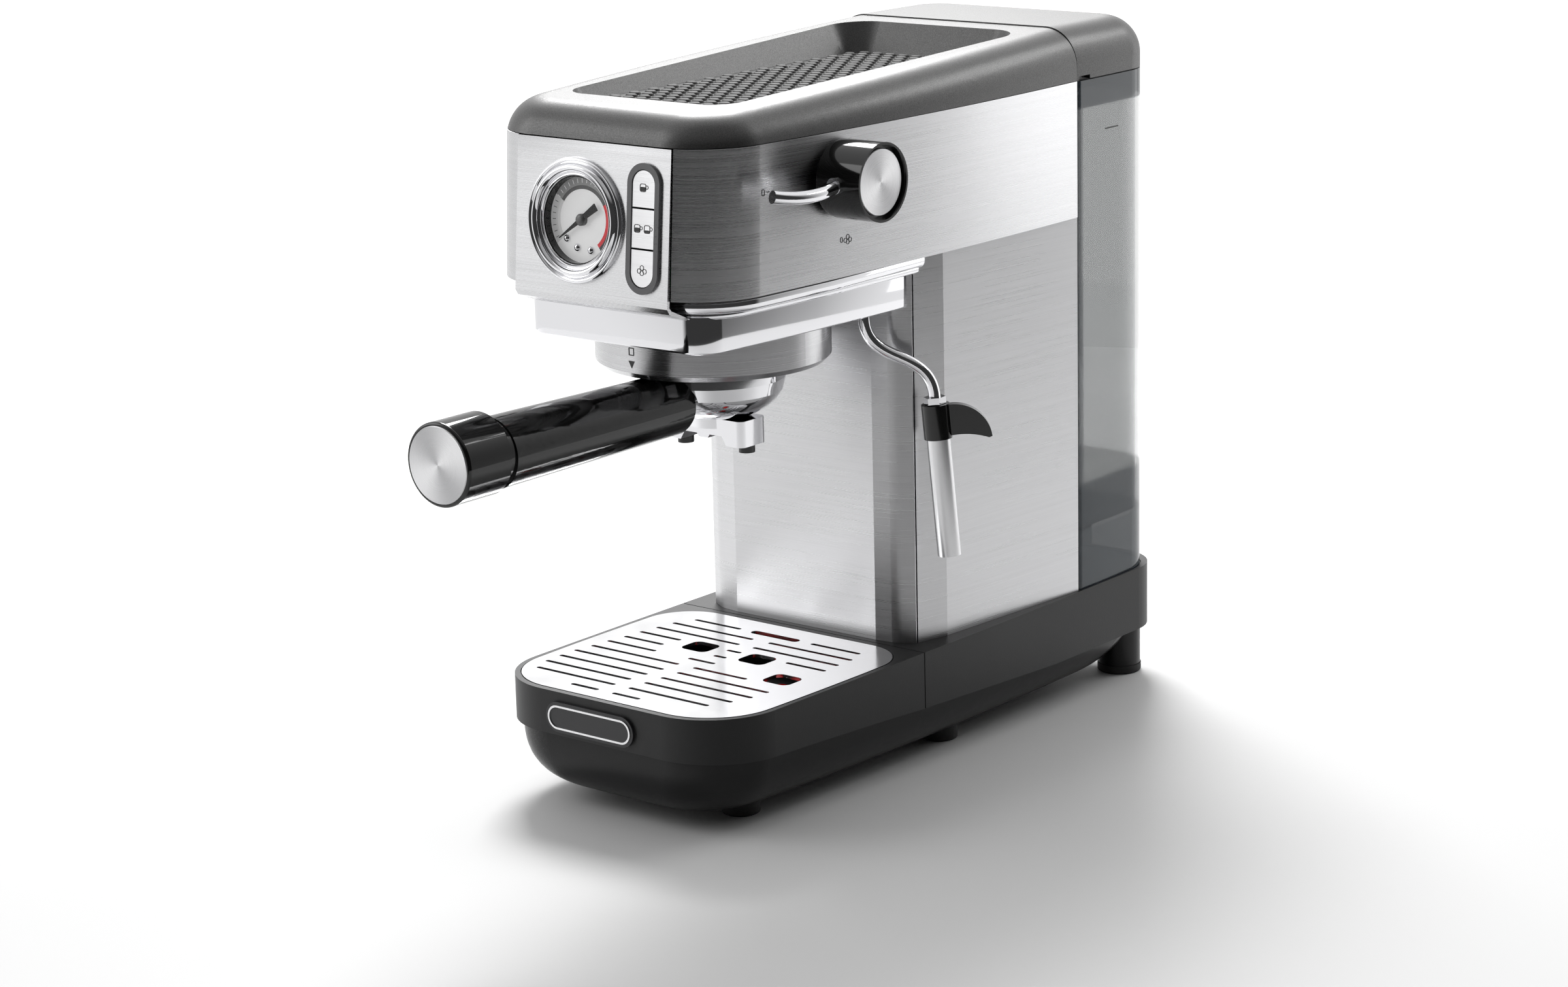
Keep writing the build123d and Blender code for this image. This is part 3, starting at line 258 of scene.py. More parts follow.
def tile(length, height, corner, border, thick, segments=10):
    """A rounded tile pulled up along Z, or with a border only the frame round it."""
    bpy.ops.mesh.primitive_plane_add(size=1)
    piece = bpy.context.object
    piece.scale = (length * MM, height * MM, 1)
    bpy.ops.object.transform_apply(location=True, rotation=True, scale=True)
    bpy.ops.object.mode_set(mode="EDIT")
    bpy.ops.mesh.select_all(action="SELECT")
    bpy.ops.mesh.bevel(
        offset=corner * MM, segments=segments, affect="VERTICES", clamp_overlap=True
    )
    if border:
        bpy.ops.mesh.select_all(action="SELECT")
        bpy.ops.mesh.inset(thickness=border * MM)
        bpy.ops.mesh.delete(type="ONLY_FACE")
    bpy.ops.mesh.select_all(action="SELECT")
    rise = (0, 0, thick * MM)
    bpy.ops.mesh.extrude_region_move(TRANSFORM_OT_translate={"value": rise})
    return piece


silver = Finish("silver_rim", (0.78, 0.78, 0.79), 0.22, 1.0)
silver.feed(Roughness=0.18 + silver.noise(300, 2) * 0.1)
badge_low, badge_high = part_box("badge_plate")
badge_middle = (badge_low + badge_high) / 2 / MM
rim = tile(46.6, 10.6, 5.25, 0.85, 0.45)
stand(rim, (badge_middle.x, badge_low.y / MM + 0.02, badge_middle.z), (0, -1, 0))
settle(rim, "badge_rim", silver, "tray")

# ---- Column --------------------------------------------------------------------
# Brushed stainless sheet folded round a black frame: a front sheet with rolled
# edges, and two side sheets that end at the tank.


def brushed(name, tone, roughness, stretch):
    """Stainless sheet with fine strokes along the axis with the small stretch."""
    finish = Finish(name, tone, roughness, 1.0)
    finish.feed(Anisotropic=0.75, Anisotropic_Rotation=0.25)
    strokes = finish.noise(1, 6, stretch)
    broad = finish.noise(0.2, 3, stretch)
    cloud = finish.noise(9, 2)
    light = tuple(min(1.0, c * 1.12) for c in tone)
    dark = tuple(c * 0.86 for c in tone)
    finish.feed(Base_Color=finish.tint(strokes * 0.6 + broad * 0.4, dark, light))
    shade = roughness + (strokes - 0.5) * 0.18 + (cloud - 0.5) * 0.06
    finish.feed(Roughness=shade)
    finish.relief(strokes, 0.12, 0.00012)
    return finish


steel_tone = (0.60, 0.60, 0.61)
along_length = (12, 12, 2600)
column_steel = brushed("column_brushed_steel", steel_tone, 0.3, along_length)
column_steel.cover("column_sides")
column_front_steel = brushed("column_front_steel", steel_tone, 0.3, along_length)
column_front_steel.cover("column_front")

# ---- Head panels ---------------------------------------------------------------
# A flat front panel and two side panels with a large front bend are the same
# brushed sheet, carried by the black head frame.
front_steel = brushed("front_panel_steel", (0.62, 0.62, 0.63), 0.27, along_length)
front_steel.cover("front_panel")
side_steel = brushed("side_panel_steel", steel_tone, 0.28, along_length)
side_steel.cover("side_panel_right", "side_panel_left")
frame_black = moulded(
    "frame_black", (0.008, 0.008, 0.008), (0.014, 0.014, 0.014), 0.5, 900, 0.2
)
frame_black.cover("head_frame", "bulkhead")

# ---- Chromed underside ---------------------------------------------------------
# A bright plated moulding closes the head from below, with a stepped bead under the
# side panels. The bowl, the spout, the wand and the knob's lever are plated alike.


def plated(name, tone, roughness):
    """Bright plating with a faint haze and hardly any ripple."""
    finish = Finish(name, tone, roughness, 1.0)
    haze = finish.noise(40, 3)
    finish.feed(Roughness=roughness + haze * 0.04)
    finish.relief(finish.noise(25, 1), 0.03, 0.001)
    return finish


chrome = plated("bright_chrome", (0.80, 0.80, 0.82), 0.03)
chrome.cover("portafilter_bowl", "spout_block", "portafilter_neck")
chrome.cover("steam_wand", "wand_nut", "knob_lever")
sleeve_steel = plated("sleeve_polished_steel", (0.66, 0.66, 0.67), 0.17)
sleeve_steel.cover("frother_sleeve")


def pick(piece, kind, wanted):
    """Selects those of the piece's verts, edges or faces that are wanted."""
    bpy.ops.mesh.select_all(action="DESELECT")
    shape = bmesh.from_edit_mesh(piece.data)
    for element in getattr(shape, kind):
        element.select = wanted(element)
    if kind == "verts":
        shape.select_flush(True)
    bmesh.update_edit_mesh(piece.data)


def round_edges(piece, width):
    """Rounds the piece's sharp edges by a width in millimetres."""
    bpy.ops.object.mode_set(mode="OBJECT")
    bpy.ops.object.modifier_add(type="BEVEL")
    rounding = piece.modifiers[-1]
    rounding.width = width * MM
    rounding.segments = 5
    rounding.limit_method = "ANGLE"
    rounding.angle_limit = math.radians(30)
    bpy.ops.object.modifier_apply(modifier=rounding.name)


def runs_back(edge):
    """Whether an edge of a plane runs from front to back."""
    first, second = edge.verts
    return abs(first.co.x - second.co.x) < 0.0001


def slab(plan, low, high, rounding):
    """A slab with a flat front, bowed sides and rounded front corners."""
    front, middle, back, y_front, y_back, corner = plan
    halfway = (y_front + y_back) / 2 * MM
    bpy.ops.mesh.primitive_plane_add(size=1)
    piece = bpy.context.object
    piece.scale = (2 * back * MM, (y_back - y_front) * MM, 1)
    piece.location = (0, halfway, low * MM)
    bpy.ops.object.transform_apply(location=True, rotation=True, scale=True)
    bpy.ops.object.mode_set(mode="EDIT")
    pick(piece, "edges", runs_back)
    bpy.ops.mesh.subdivide(number_cuts=1)
    for place, half in ((y_front * MM, front), (halfway, middle)):
        pick(piece, "verts", lambda point: abs(point.co.y - place) < 0.001)
        widen = (half / back, 1, 1)
        bpy.ops.transform.resize(value=widen, center_override=(0, 0, 0))
    pick(piece, "verts", lambda point: point.co.y < y_front * MM + 0.0001)
    bpy.ops.mesh.bevel(offset=corner * MM, segments=14, affect="VERTICES")
    bpy.ops.mesh.select_all(action="SELECT")
    bpy.ops.mesh.dissolve_faces()
    rise = (0, 0, (high - low) * MM)
    bpy.ops.mesh.extrude_region_move(TRANSFORM_OT_translate={"value": rise})
    bpy.ops.mesh.select_all(action="SELECT")
    bpy.ops.mesh.normals_make_consistent(inside=False)
    round_edges(piece, rounding)
    piece.select_set(False)
    return piece


# The wall, the neck above it and the bead, each with its half widths at the front,
# the middle and the back, where it starts and ends, and its front corners.
skirt_slabs = [
    slab((49.8, 54.3, 56.5, -148.2, -12.2, 11.3), 204.9, 221.0, 1.0),
    slab((54.5, 58.5, 59.0, -148.2, -13.0, 20.0), 219.4, 223.6, 1.2),
    slab((59.6, 62.8, 61.5, -152.0, -12.4, 27.0), 222.0, 228.6, 2.7),
]
for piece in skirt_slabs:
    piece.select_set(True)
bpy.context.view_layer.objects.active = skirt_slabs[0]
bpy.ops.object.join()
skirt = bpy.context.object
settle(skirt, "head_skirt", chrome, "root", 40)
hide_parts("chrome_band")

# ---- Top cover -----------------------------------------------------------------
# The cover and the tank lid are ABS in a dark metallic paint full of fine flakes.
# The lid is the back of the same painted top, and lifts off the tank.
flake_paint = Finish("flake_paint", (0.11, 0.11, 0.11), 0.4, 0.85)
flakes = flake_paint.node(
    "ShaderNodeTexVoronoi", None, {"Vector": flake_paint.place, "Scale": 2600}
)
flake_tone = flake_paint.noise(2200, 1)
flake_paint.feed(
    Base_Color=flake_paint.tint(flake_tone, (0.05, 0.05, 0.05), (0.145, 0.144, 0.143)),
    Roughness=0.32 + flakes * 0.2,
    Coat_Weight=0.15,
    Coat_Roughness=0.2,
)
flake_paint.relief(flake_tone, 0.15, 0.0001)
flake_paint.cover("top_cover", "tank_lid")

# ---- Cup plate bosses ----------------------------------------------------------
# The plate that cups stand on is moulded with rows of scale-shaped bosses, each
# shifted half a pitch, so that cups stay put and their drips run off.
plate_paint = moulded(
    "plate_paint", (0.030, 0.030, 0.030), (0.060, 0.059, 0.058), 0.6, 2200, 0.2
)
plate_paint.feed(Specular_IOR_Level=0.15)
plate_paint.cover("cup_plate")
boss_pitch_x, boss_pitch_y = 7.4, 6.2
plate_low, plate_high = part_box("cup_plate")
plate_top = plate_high.z / MM
bpy.ops.mesh.primitive_cylinder_add(vertices=10, radius=2.9 * MM, depth=1.1 * MM)
boss = bpy.context.object
boss.scale = (1.22, 0.9, 1)
bpy.ops.object.transform_apply(location=False, rotation=False, scale=True)
bpy.ops.object.mode_set(mode="EDIT")
pick(boss, "faces", lambda face: face.normal.z > 0.9)
boss_top = (0, -0.4 * MM, 0.55 * MM)
bpy.ops.transform.resize(value=(0.72, 0.66, 1), center_override=boss_top)
bpy.ops.mesh.bevel(offset=0.35 * MM, segments=2)
bpy.ops.object.mode_set(mode="OBJECT")
boss_rows = ((10, (boss_pitch_x * MM, 0, 0)), (15, (0, 2 * boss_pitch_y * MM, 0)))
for count, pitch in boss_rows:
    bpy.ops.object.modifier_add(type="ARRAY")
    row = boss.modifiers[-1]
    row.count = count
    row.use_relative_offset = False
    row.use_constant_offset = True
    row.constant_offset_displace = pitch
    bpy.ops.object.modifier_apply(modifier=row.name)
row_y = (plate_low.y + 0.0075) / MM
boss.location = (-4.75 * boss_pitch_x * MM, row_y * MM, (plate_top + 0.5) * MM)
bpy.ops.object.duplicate()
shifted = bpy.context.object
shifted.location.x += boss_pitch_x / 2 * MM
shifted.location.y += boss_pitch_y * MM
boss.select_set(True)
bpy.context.view_layer.objects.active = boss
bpy.ops.object.join()
settle(boss, "cup_plate_bosses", plate_paint, "root", 50)

# ---- Water tank ----------------------------------------------------------------
# The tank is smoked clear plastic, darker where its wall is doubled at the rim, the
# foot and the front corner, with a line for the highest fill. Towards the rear corner
# it is darker again: painted shade for the dark edge seen where the view runs edge-on
# through the curved wall.
tank_clear = Finish("tank_smoked", (0.10, 0.13, 0.15), 0.05)
tank_height = tank_clear.axis("Z") * 1000
tank_depth = tank_clear.axis("Y") * 1000
foot_band = 1 - tank_clear.ramp(tank_height, 81, 83)
top_band = tank_clear.ramp(tank_height, 277, 278)
single_wall = tank_clear.ramp(tank_height, 103, 105) * (1 - top_band)
# Painted shade: the rear corner is darkened to stand for the dark edge where the view
# runs edge-on through the curved wall.
painted_rear_edge_shade = tank_clear.ramp(tank_depth, 150, 160)
window = single_wall * tank_clear.ramp(tank_depth, 95.5, 96) * (1 - painted_rear_edge_shade * 0.8)
smoke = 0.62 + foot_band * 0.22 + top_band * 0.2
tank_clear.feed(
    Base_Color=tank_clear.tint(window, (0.030, 0.042, 0.052), (0.34, 0.38, 0.38)),
    Alpha=smoke * (1 - window) + window * 0.14 + tank_clear.noise(8, 2) * 0.03,
)
tank_clear.cover("water_tank")

# ---- Group ---------------------------------------------------------------------
# A ring of brushed steel surrounds the cast head that the portafilter locks into,
# and meets the underside of the chromed moulding.
collar_steel = brushed("collar_brushed_steel", (0.56, 0.56, 0.57), 0.25, along_length)
collar_steel.cover("group_collar")
cast = moulded("cast_metal", (0.45, 0.45, 0.46), (0.55, 0.55, 0.56), 0.4, 500, 0.3)
cast.feed(Metallic=1.0)
cast.cover("group_head", "boiler", "filter_basket", "shower_screen", "screws")

# ---- Portafilter ---------------------------------------------------------------
# The plated bowl and spout hang on a glossy black handle that is closed by a disc of
# spun aluminium. The wand's grip and the steam knob are the same black plastic.
gloss_black = Finish("handle_gloss_black", (0.006, 0.006, 0.006), 0.07)
gloss_black.feed(Roughness=0.05 + gloss_black.noise(30, 3) * 0.05)
gloss_black.cover("portafilter_handle", "spout_tips", "wand_grip", "steam_knob")


def spun_disc(name, node, letters, turn):
    """Face-turned aluminium: fine rings, and bright and dark fan-shaped painted
    highlights round the middle.
    """
    finish = Finish(name, (0.7, 0.7, 0.71), 0.3, 1.0)
    low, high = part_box(node)
    middle = (low + high) / 2
    first = finish.axis(letters[0]) - middle["XYZ".index(letters[0])]
    second = finish.axis(letters[1]) - middle["XYZ".index(letters[1])]
    reach = (first * first + second * second) ** 0.5
    angle = first.work("ARCTAN2", second, first)
    # Painted highlights: bright and dark fan shapes by the angle round the middle
    # stand for the cone-shaped reflections of the turned face.
    painted_highlight_fans = first.work("COSINE", angle * 2 + turn) * 0.5 + 0.5
    rings = finish.node(
        "ShaderNodeTexNoise",
        {"noise_dimensions": "1D"},
        {"W": reach * 9000, "Scale": 1.0, "Detail": 3.0},
        "Fac",
    )
    highlight_fans_and_rings = painted_highlight_fans * 0.8 + rings * 0.2
    finish.feed(
        Base_Color=finish.tint(highlight_fans_and_rings, (0.42, 0.42, 0.43), (0.88, 0.88, 0.89)),
        Roughness=0.22 + rings * 0.16,
    )
    finish.relief(rings, 0.2, 0.00008)
    finish.cover(node)


# Each disc's painted highlights are turned to lie where its reflections fall.
spun_disc("handle_disc_aluminium", "handle_disc", "XZ", math.radians(-70))
spun_disc("knob_disc_aluminium", "knob_disc", "YZ", math.radians(-60))

# ---- Gauge ---------------------------------------------------------------------
# The pressure gauge is a brass case set in the front panel behind a plated bezel,
# with a printed card, a black needle and a low domed lens.


def turned(profile, steps=96):
    """A ring pulled along Z through pairs of radius and height in millimetres."""
    radius, height = profile[0]
    bpy.ops.mesh.primitive_circle_add(vertices=steps, radius=radius * MM)
    piece = bpy.context.object
    bpy.ops.object.mode_set(mode="EDIT")
    bpy.ops.mesh.select_all(action="SELECT")
    bpy.ops.transform.translate(value=(0, 0, height * MM))
    for next_radius, next_height in profile[1:]:
        step = (0, 0, (next_height - height) * MM)
        bpy.ops.mesh.extrude_region_move(TRANSFORM_OT_translate={"value": step})
        grow = next_radius / radius
        bpy.ops.transform.resize(value=(grow, grow, 1), center_override=(0, 0, 0))
        radius, height = next_radius, next_height
    bpy.ops.mesh.select_all(action="SELECT")
    bpy.ops.mesh.fill_holes(sides=0)
    return piece


panel_lean = 5.6 / 64.3
panel_out = Vector((0, -1, panel_lean)).normalized()
panel_top, panel_top_y = 290.3, -155.5


def on_panel(x, height):
    """The place on the leaning front panel at an x and a height in millimetres."""
    return Vector((x, panel_top_y - panel_lean * (panel_top - height), height))


def open_ring(profile):
    """A turned ring whose end discs are taken away and whose two rims are joined."""
    piece = turned(profile)
    pick(piece, "faces", lambda face: len(face.verts) > 4)
    bpy.ops.mesh.delete(type="ONLY_FACE")
    bpy.ops.mesh.select_all(action="DESELECT")
    bpy.ops.mesh.select_non_manifold()
    bpy.ops.mesh.bridge_edge_loops()
    return piece


gauge_middle = on_panel(-8.5, 257.7)
bezel_outer = [(26.0, -0.2), (26.0, 1.0), (25.7, 1.7), (25.0, 2.1), (24.4, 1.9)]
bezel_groove = [(24.0, 1.3), (23.6, 1.1), (23.3, 1.7), (22.9, 2.6)]
bezel_crown = [(22.2, 3.2), (21.5, 3.2), (20.8, 2.7), (20.4, 1.7), (20.1, 0.9)]
bezel_inner = [(19.8, 0.8), (19.4, 1.2), (18.8, 1.2), (18.4, 0.7), (18.2, -0.2)]
bezel_skirt = [(18.0, -4.1), (19.2, -4.15)]
bezel = open_ring(bezel_outer + bezel_groove + bezel_crown + bezel_inner + bezel_skirt)
stand(bezel, gauge_middle, panel_out)
settle(bezel, "gauge_bezel_rings", chrome, "root", 50)
well = open_ring([(17.85, -4.1), (17.75, -0.3), (18.1, -0.3), (18.1, -4.1)])
stand(well, gauge_middle, panel_out)
settle(well, "gauge_well", gloss_black, "root", 50)
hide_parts("gauge_bezel")

# The dial's card is printed in bands: grey at the top, dark with a red arc at the
# right, and pale at the left, round a white middle.
dial_card = Finish("dial_card", (0.8, 0.8, 0.8), 0.55)
dial_x = dial_card.axis("X") * 1000 - gauge_middle.x
dial_z = (dial_card.axis("Z") * 1000 - (gauge_middle.z - 0.37)) * 1.004
dial_reach = (dial_x * dial_x + dial_z * dial_z) ** 0.5
dial_turn = dial_x.work("ARCTAN2", dial_z, dial_x) * (180 / math.pi)
outer_band = dial_reach > 14.2
inner_band = (dial_reach > 12.6) * (dial_reach < 14.2)
over = (dial_turn > -50) * (dial_turn < 31)
best = (dial_turn > 31) * (dial_turn < 148)
under = (dial_turn > 148) + (dial_turn < -142)
speck = dial_card.noise(900, 2)
paper = dial_card.tint(speck, (0.90, 0.90, 0.90), (0.96, 0.96, 0.96))
paper = dial_card.tint(outer_band * best, paper, (0.30, 0.30, 0.30))
paper = dial_card.tint(inner_band * best, paper, (0.12, 0.12, 0.12))
paper = dial_card.tint(outer_band * over, paper, (0.07, 0.07, 0.075))
paper = dial_card.tint(inner_band * over, paper, (0.70, 0.06, 0.07))
paper = dial_card.tint(outer_band * under, paper, (0.66, 0.66, 0.66))
paper = dial_card.tint(inner_band * under, paper, (0.72, 0.72, 0.72))
tick_pitch = 9
off_tick = abs((dial_turn + 1000) % tick_pitch - tick_pitch / 2)
ticks = (off_tick < 0.55) * (dial_reach > 15.2) * (dial_reach < 17)
paper = dial_card.tint(ticks * (over + best), paper, (0.88, 0.88, 0.88))
paper = dial_card.tint(ticks * under, paper, (0.16, 0.16, 0.16))
dial_card.feed(Base_Color=paper, Roughness=0.5 + speck * 0.1)
# The card also glows faintly in its own colours: painted light that lifts it out of
# the shade of its recess, since nothing lights it from behind.
dial_card.feed(Emission_Color=paper, Emission_Strength=0.3)
dial_card.cover("gauge_dial")

# The needle is a pressed pointer with a broad tail, on a turned hub.
needle_black = Finish("needle_black", (0.012, 0.012, 0.012), 0.35)
needle_black.feed(Roughness=0.3 + needle_black.noise(500, 2) * 0.2)
bpy.ops.mesh.primitive_plane_add(size=1)
needle = bpy.context.object
needle.scale = (24.6 * MM, 1.6 * MM, 1)
bpy.ops.object.transform_apply(location=True, rotation=True, scale=True)
bpy.ops.object.mode_set(mode="EDIT")
bpy.ops.mesh.select_all(action="SELECT")
bpy.ops.transform.translate(value=(2.1 * MM, 0, 0))
for end, width in ((1, 0.22), (-1, 2.1)):
    pick(needle, "verts", lambda point: point.co.x * end > 0)
    bpy.ops.transform.resize(value=(1, width, 1), center_override=(0, 0, 0))
bpy.ops.mesh.select_all(action="SELECT")
bpy.ops.mesh.extrude_region_move(TRANSFORM_OT_translate={"value": (0, 0, 0.5 * MM)})
needle_turn = math.radians(216)
needle_across = Vector((math.cos(needle_turn), 0, math.sin(needle_turn)))
stand(needle, gauge_middle - panel_out * 2.9, panel_out, needle_across)
bpy.ops.object.mode_set(mode="OBJECT")
needle_hub = turned([(2.5, -1.2), (2.5, 0.5), (2.2, 0.9), (1.5, 1.2), (0.4, 1.3)], 40)
stand(needle_hub, gauge_middle - panel_out * 2.9, panel_out)
hub_metal = Finish("hub_metal", (0.16, 0.16, 0.16), 0.45, 0.6)
hub_metal.feed(Roughness=0.35 + hub_metal.noise(400, 2) * 0.15)
settle(needle_hub, "needle_hub", hub_metal, "needle")
needle.select_set(True)
bpy.context.view_layer.objects.active = needle
settle(needle, "needle_pointer", needle_black, "needle")
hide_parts("gauge_needle")

# Three domed rivets hold the card to the movement.
rivets = ((-8.6, -8.3), (-2.7, -11.7), (4.8, -12.2))
for rivet, (rivet_x, rivet_z) in enumerate(rivets):
    dome = turned([(1.6, 0), (1.55, 0.5), (1.2, 0.9), (0.6, 1.15), (0.15, 1.2)], 28)
    rivet_place = gauge_middle + Vector((rivet_x, rivet_z * panel_lean, rivet_z))
    stand(dome, rivet_place - panel_out * 4.25, panel_out)
    settle(dome, f"dial_rivet_{rivet}", chrome, "root")

lens_clear = Finish("lens_clear", (0.02, 0.02, 0.02), 0.02)
lens_clear.feed(Alpha=0.03 + lens_clear.noise(60, 2) * 0.02)
lens = turned([(18.15, -0.1), (18.15, 0.3), (14, 0.75), (8, 1.0), (2, 1.1)], 64)
stand(lens, gauge_middle, panel_out)
settle(lens, "gauge_lens_dome", lens_clear, "root")
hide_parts("gauge_lens")
brass = Finish("brass", (0.7, 0.55, 0.25), 0.3, 1.0)
brass.cover("gauge_case", "steam_valve")

# ---- Buttons -------------------------------------------------------------------
# Three brushed steel keys sit one above the other in a moulded grey surround, and
# press in one by one. Their signs are printed in black ink.
key_steel = brushed("key_brushed_steel", (0.74, 0.74, 0.75), 0.3, along_length)
key_steel.cover("button_one_cup", "button_two_cups", "button_steam")
surround_grey = moulded(
    "surround_grey", (0.13, 0.13, 0.134), (0.17, 0.17, 0.175), 0.3, 700, 0.1
)
surround_grey.cover("button_surround")
ink = Finish("printed_ink", (0.03, 0.03, 0.03), 0.5)
ink.feed(Roughness=0.45 + ink.noise(800, 2) * 0.1)
keys_middle = on_panel(28.7, 257.5)
key_pitch, key_rise = 16.6, 0.9


def print_marks(tiles, name, place, along, body, across=(1, 0, 0)):
    """Joins printed tiles into one mark and lays it at a place on a surface."""
    for piece in tiles:
        piece.select_set(True)
    bpy.context.view_layer.objects.active = tiles[0]
    bpy.ops.object.join()
    mark = bpy.context.object
    bpy.ops.object.transform_apply(location=True, rotation=True, scale=True)
    stand(mark, place, along, across)
    return settle(mark, name, ink, body)


def printed(length, height, corner, border, x, y):
    """One printed tile of a mark, at x and y from the mark's middle."""
    piece = tile(length, height, corner, border, 0.12, 6)
    bpy.ops.object.mode_set(mode="OBJECT")
    piece.location = (x * MM, y * MM, 0)
    piece.select_set(False)
    return piece


def cup(x, fill):
    """A cup in outline, part filled, with its handle."""
    return [
        printed(3.3, 3.4, 0.9, 0.28, x, 0),
        printed(2.6, fill, 0.5, None, x, -1.35 + fill / 2),
        printed(1.5, 1.6, 0.7, 0.25, x + 2.1, 0.25),
    ]


def cloud(x, y):
    """A puff of steam drawn as four small rings."""
    rings = ((0, -1.3), (-1.5, -0.5), (1.5, -0.5), (0, 0.9))
    return [printed(2.1, 2.1, 1.0, 0.24, x + dx, y + dy) for dx, dy in rings]


def on_key(step):
    """The middle of a key's face, one pitch up or down."""
    up = Vector((0, panel_lean, 1))
    return keys_middle + up * key_pitch * step + panel_out * key_rise


print_marks(cup(-0.4, 1.7), "mark_one_cup", on_key(1), panel_out, "one_cup_button")
two_cups = cup(-3.0, 1.7) + cup(2.3, 1.0)
print_marks(two_cups, "mark_two_cups", on_key(0), panel_out, "two_cup_button")
print_marks(cloud(0, 0), "mark_steam", on_key(-1), panel_out, "steam_button")


def printed_on(node, tiles, name, start, way, across, body="root"):
    """Lays a mark where a line from a start point first meets a carried-over node."""
    spot, facing = nodes[node].ray_cast(Vector(start) * MM, Vector(way))[1:3]
    place = spot / MM + facing * 0.01
    return print_marks(tiles, name, place, facing, body, across)


# The same ink marks the knob's closed position and its steam side on the side panel,
# and the handle's unlocked place on the collar.
zero = [printed(1.9, 2.9, 0.9, 0.3, -1.6, 0), printed(1.8, 0.4, 0.1, None, 1.2, 0)]
leftwards, backwards, rightwards = (-1, 0, 0), (0, 1, 0), (1, 0, 0)
knob_place, wand_place = (150, -125.5, 271), (150, -77, 244.8)
printed_on("side_panel_right", zero, "mark_closed", knob_place, leftwards, backwards)
steam_side = [printed(1.5, 2.4, 0.7, 0.24, -3.4, 0)] + cloud(0.6, 0)
printed_on(
    "side_panel_right", steam_side, "mark_steam_side", wand_place, leftwards, backwards
)
arrow = printed(3.4, 3.2, 0.1, None, 0, 0)
arrow.select_set(True)
bpy.context.view_layer.objects.active = arrow
bpy.ops.object.mode_set(mode="EDIT")
pick(arrow, "verts", lambda point: point.co.y < 0)
bpy.ops.transform.resize(value=(0.04, 1, 1), center_override=(0, 0, 0))
bpy.ops.object.mode_set(mode="OBJECT")
arrow_place, lock_place = (-1.8, -200, 193.6), (-1.8, -200, 199.2)
printed_on("group_collar", [arrow], "mark_arrow", arrow_place, backwards, rightwards)
lock = [printed(3.0, 3.4, 0.2, 0.4, 0, 0)]
printed_on("group_collar", lock, "mark_unlocked", lock_place, backwards, rightwards)

# The tank's line for the highest fill is printed on its right side.
fill_line = [printed(10.9, 0.55, 0.2, None, 0, 0)]
fill_place = (150, 119, 266.4)
printed_on(
    "water_tank", fill_line, "mark_fill_line", fill_place, leftwards, backwards, "tank"
)

# ---- Inside --------------------------------------------------------------------
# The pump, the thermostats and the tank's valve are black mouldings. Silicone hoses
# join the tank's seat, the pump and the boiler, and two boards carry the electrics.
frame_black.cover("tank_valve", "pump", "thermostats")
silicone = moulded("silicone", (0.6, 0.6, 0.58), (0.7, 0.7, 0.68), 0.5, 300, 0.1)
silicone.cover("water_hoses")
board = moulded("board_green", (0.02, 0.12, 0.05), (0.03, 0.16, 0.07), 0.5, 300, 0.1)
board.cover("circuit_boards")

# ---- Floor and light -----------------------------------------------------------
# A pale floor and one soft studio round the machine: white on the left and at the
# back, dark at the front right, and a grey ceiling, with four softboxes.
bpy.ops.mesh.primitive_circle_add(vertices=96, radius=0.85, fill_type="NGON")
floor = bpy.context.object
floor.name = "studio_floor"
floor_pale = Finish("floor_pale", (0.70, 0.70, 0.70), 0.6)
floor_pale.feed(Specular_IOR_Level=0.2)
floor_pale.dress(floor)

world = bpy.data.worlds.new("studio")
bpy.context.scene.world = world
world.use_nodes = True
studio = Tree(world.node_tree)
heading = studio.node("ShaderNodeTexCoord", out="Generated")
east = studio.node("ShaderNodeSeparateXYZ", None, {0: heading}, "X")
north = studio.node("ShaderNodeSeparateXYZ", None, {0: heading}, "Y")
skyward = studio.node("ShaderNodeSeparateXYZ", None, {0: heading}, "Z")

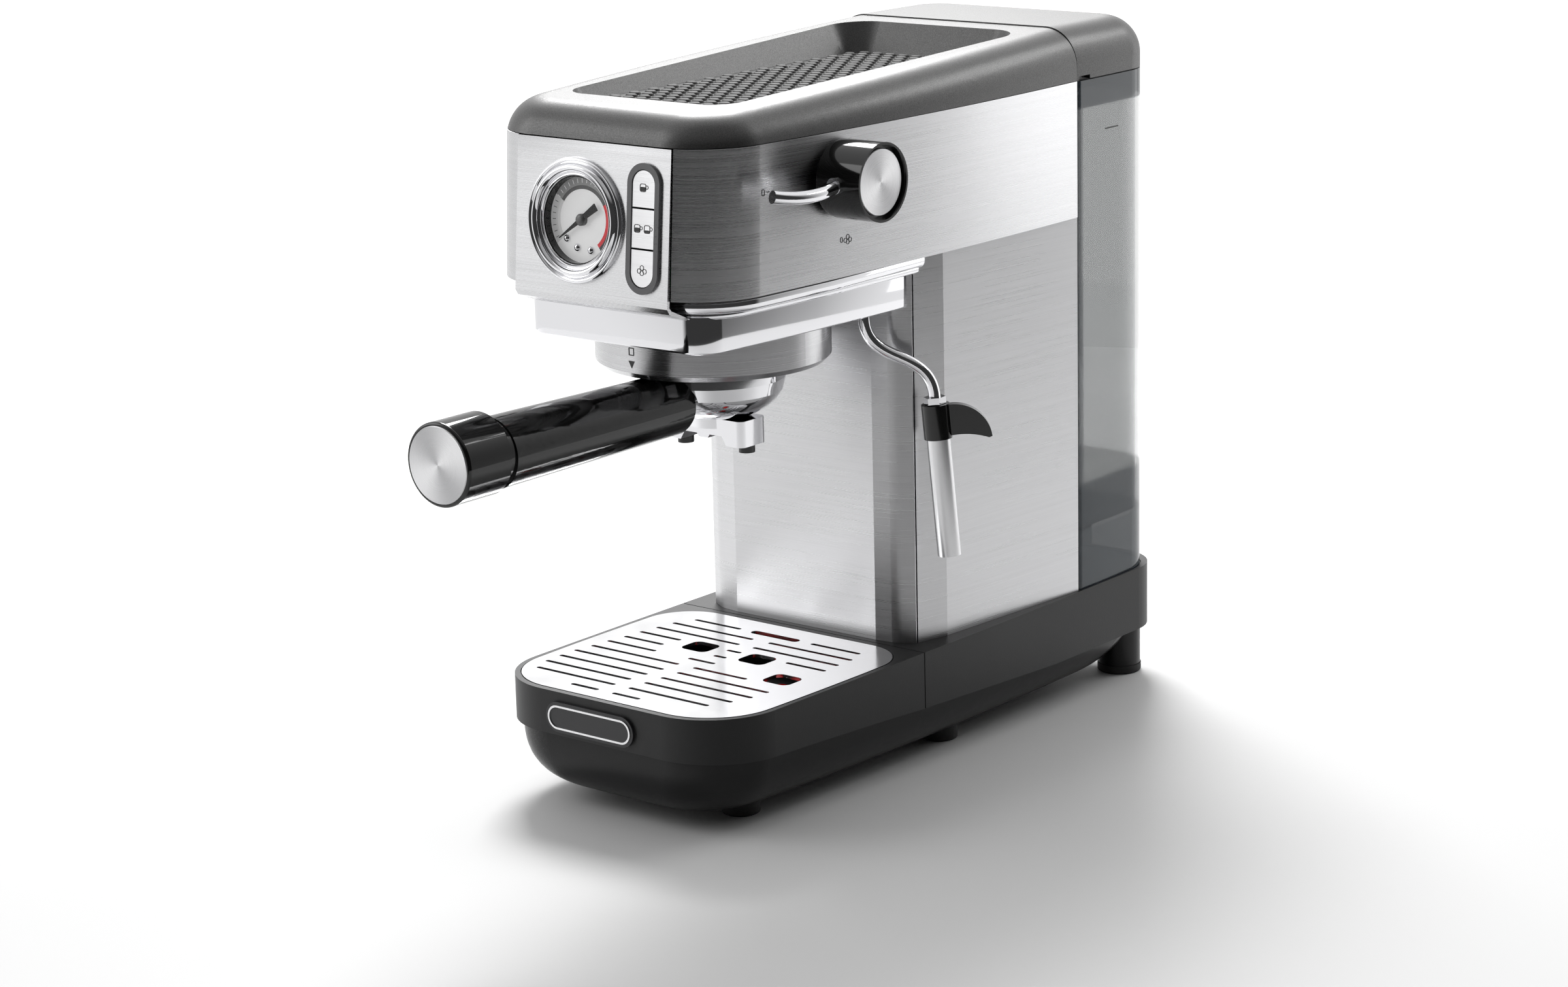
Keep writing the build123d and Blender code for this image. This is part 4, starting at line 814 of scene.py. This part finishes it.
# The bearing is 0 towards the front and grows towards the right.
bearing = east.work("ARCTAN2", east, north * -1.0)
dark_middle, dark_edge, white_edge = (math.radians(angle) for angle in (52, 70, 96))
walls = {
    "Value": abs(bearing - dark_middle),
    "From Min": dark_edge,
    "From Max": white_edge,
    "To Min": 0.04,
    "To Max": 0.95,
}
smooth = {"interpolation_type": "SMOOTHSTEP"}
wall = studio.node("ShaderNodeMapRange", smooth, walls)
overhead = {"Value": skyward, "From Min": 0.45, "From Max": 0.8}
ceiling = studio.node("ShaderNodeMapRange", smooth, overhead)
level = wall.work("MAXIMUM", wall, ceiling * 0.4)
seen = studio.node("ShaderNodeLightPath", out="Is Camera Ray")
shown = level.work("MAXIMUM", level, seen * 1.35)
background = world.node_tree.nodes["Background"]
studio.join(shown, background.inputs["Strength"])
studio.join((1, 1, 1, 1), background.inputs["Color"])


def softbox(name, place, aim, size, watts):
    """A rectangular light that the camera doesn't see, turned to face its aim."""
    bpy.ops.object.light_add(type="AREA", location=place)
    light = bpy.context.object
    light.name = name
    light.data.shape = "RECTANGLE"
    light.data.size, light.data.size_y = size
    light.data.energy = watts
    light.visible_camera = False
    towards = Vector(aim) - Vector(place)
    light.rotation_euler = towards.to_track_quat("-Z", "Y").to_euler()


softbox("softbox_back", (-0.9, 1.0, 1.5), (0, 0, 0.1), (0.7, 0.7), 44)
softbox("softbox_left", (-1.3, -1.0, 0.9), (0, -0.1, 0.15), (0.9, 1.2), 7)
softbox("softbox_right", (0.46, 1.02, 0.34), (0.07, 0, 0.3), (0.6, 0.68), 1.1)
softbox("softbox_high", (0.5, 1.05, 1.0), (0, -0.15, 0.2), (0.6, 0.3), 3.2)

# ---- Camera --------------------------------------------------------------------
# A long lens looks down on the machine from the front right, rolled a little.
eye = Vector((0.97704, -1.22473, 0.50537))
ahead = Vector((-0.61657, 0.7484, -0.2444)).normalized()
tilt = math.radians(-1.381)
level_right = ahead.cross(Vector((0, 0, 1))).normalized()
level_up = level_right.cross(ahead)
right = level_right * math.cos(tilt) + level_up * math.sin(tilt)
up = level_up * math.cos(tilt) - level_right * math.sin(tilt)
turn = Matrix((right, up, -ahead)).transposed().to_euler()
bpy.ops.object.camera_add(location=eye, rotation=turn)
camera = bpy.context.object
camera.data.lens = 82.0
camera.data.sensor_width = 36.0
bpy.context.scene.camera = camera
bpy.context.scene.view_settings.view_transform = "Standard"
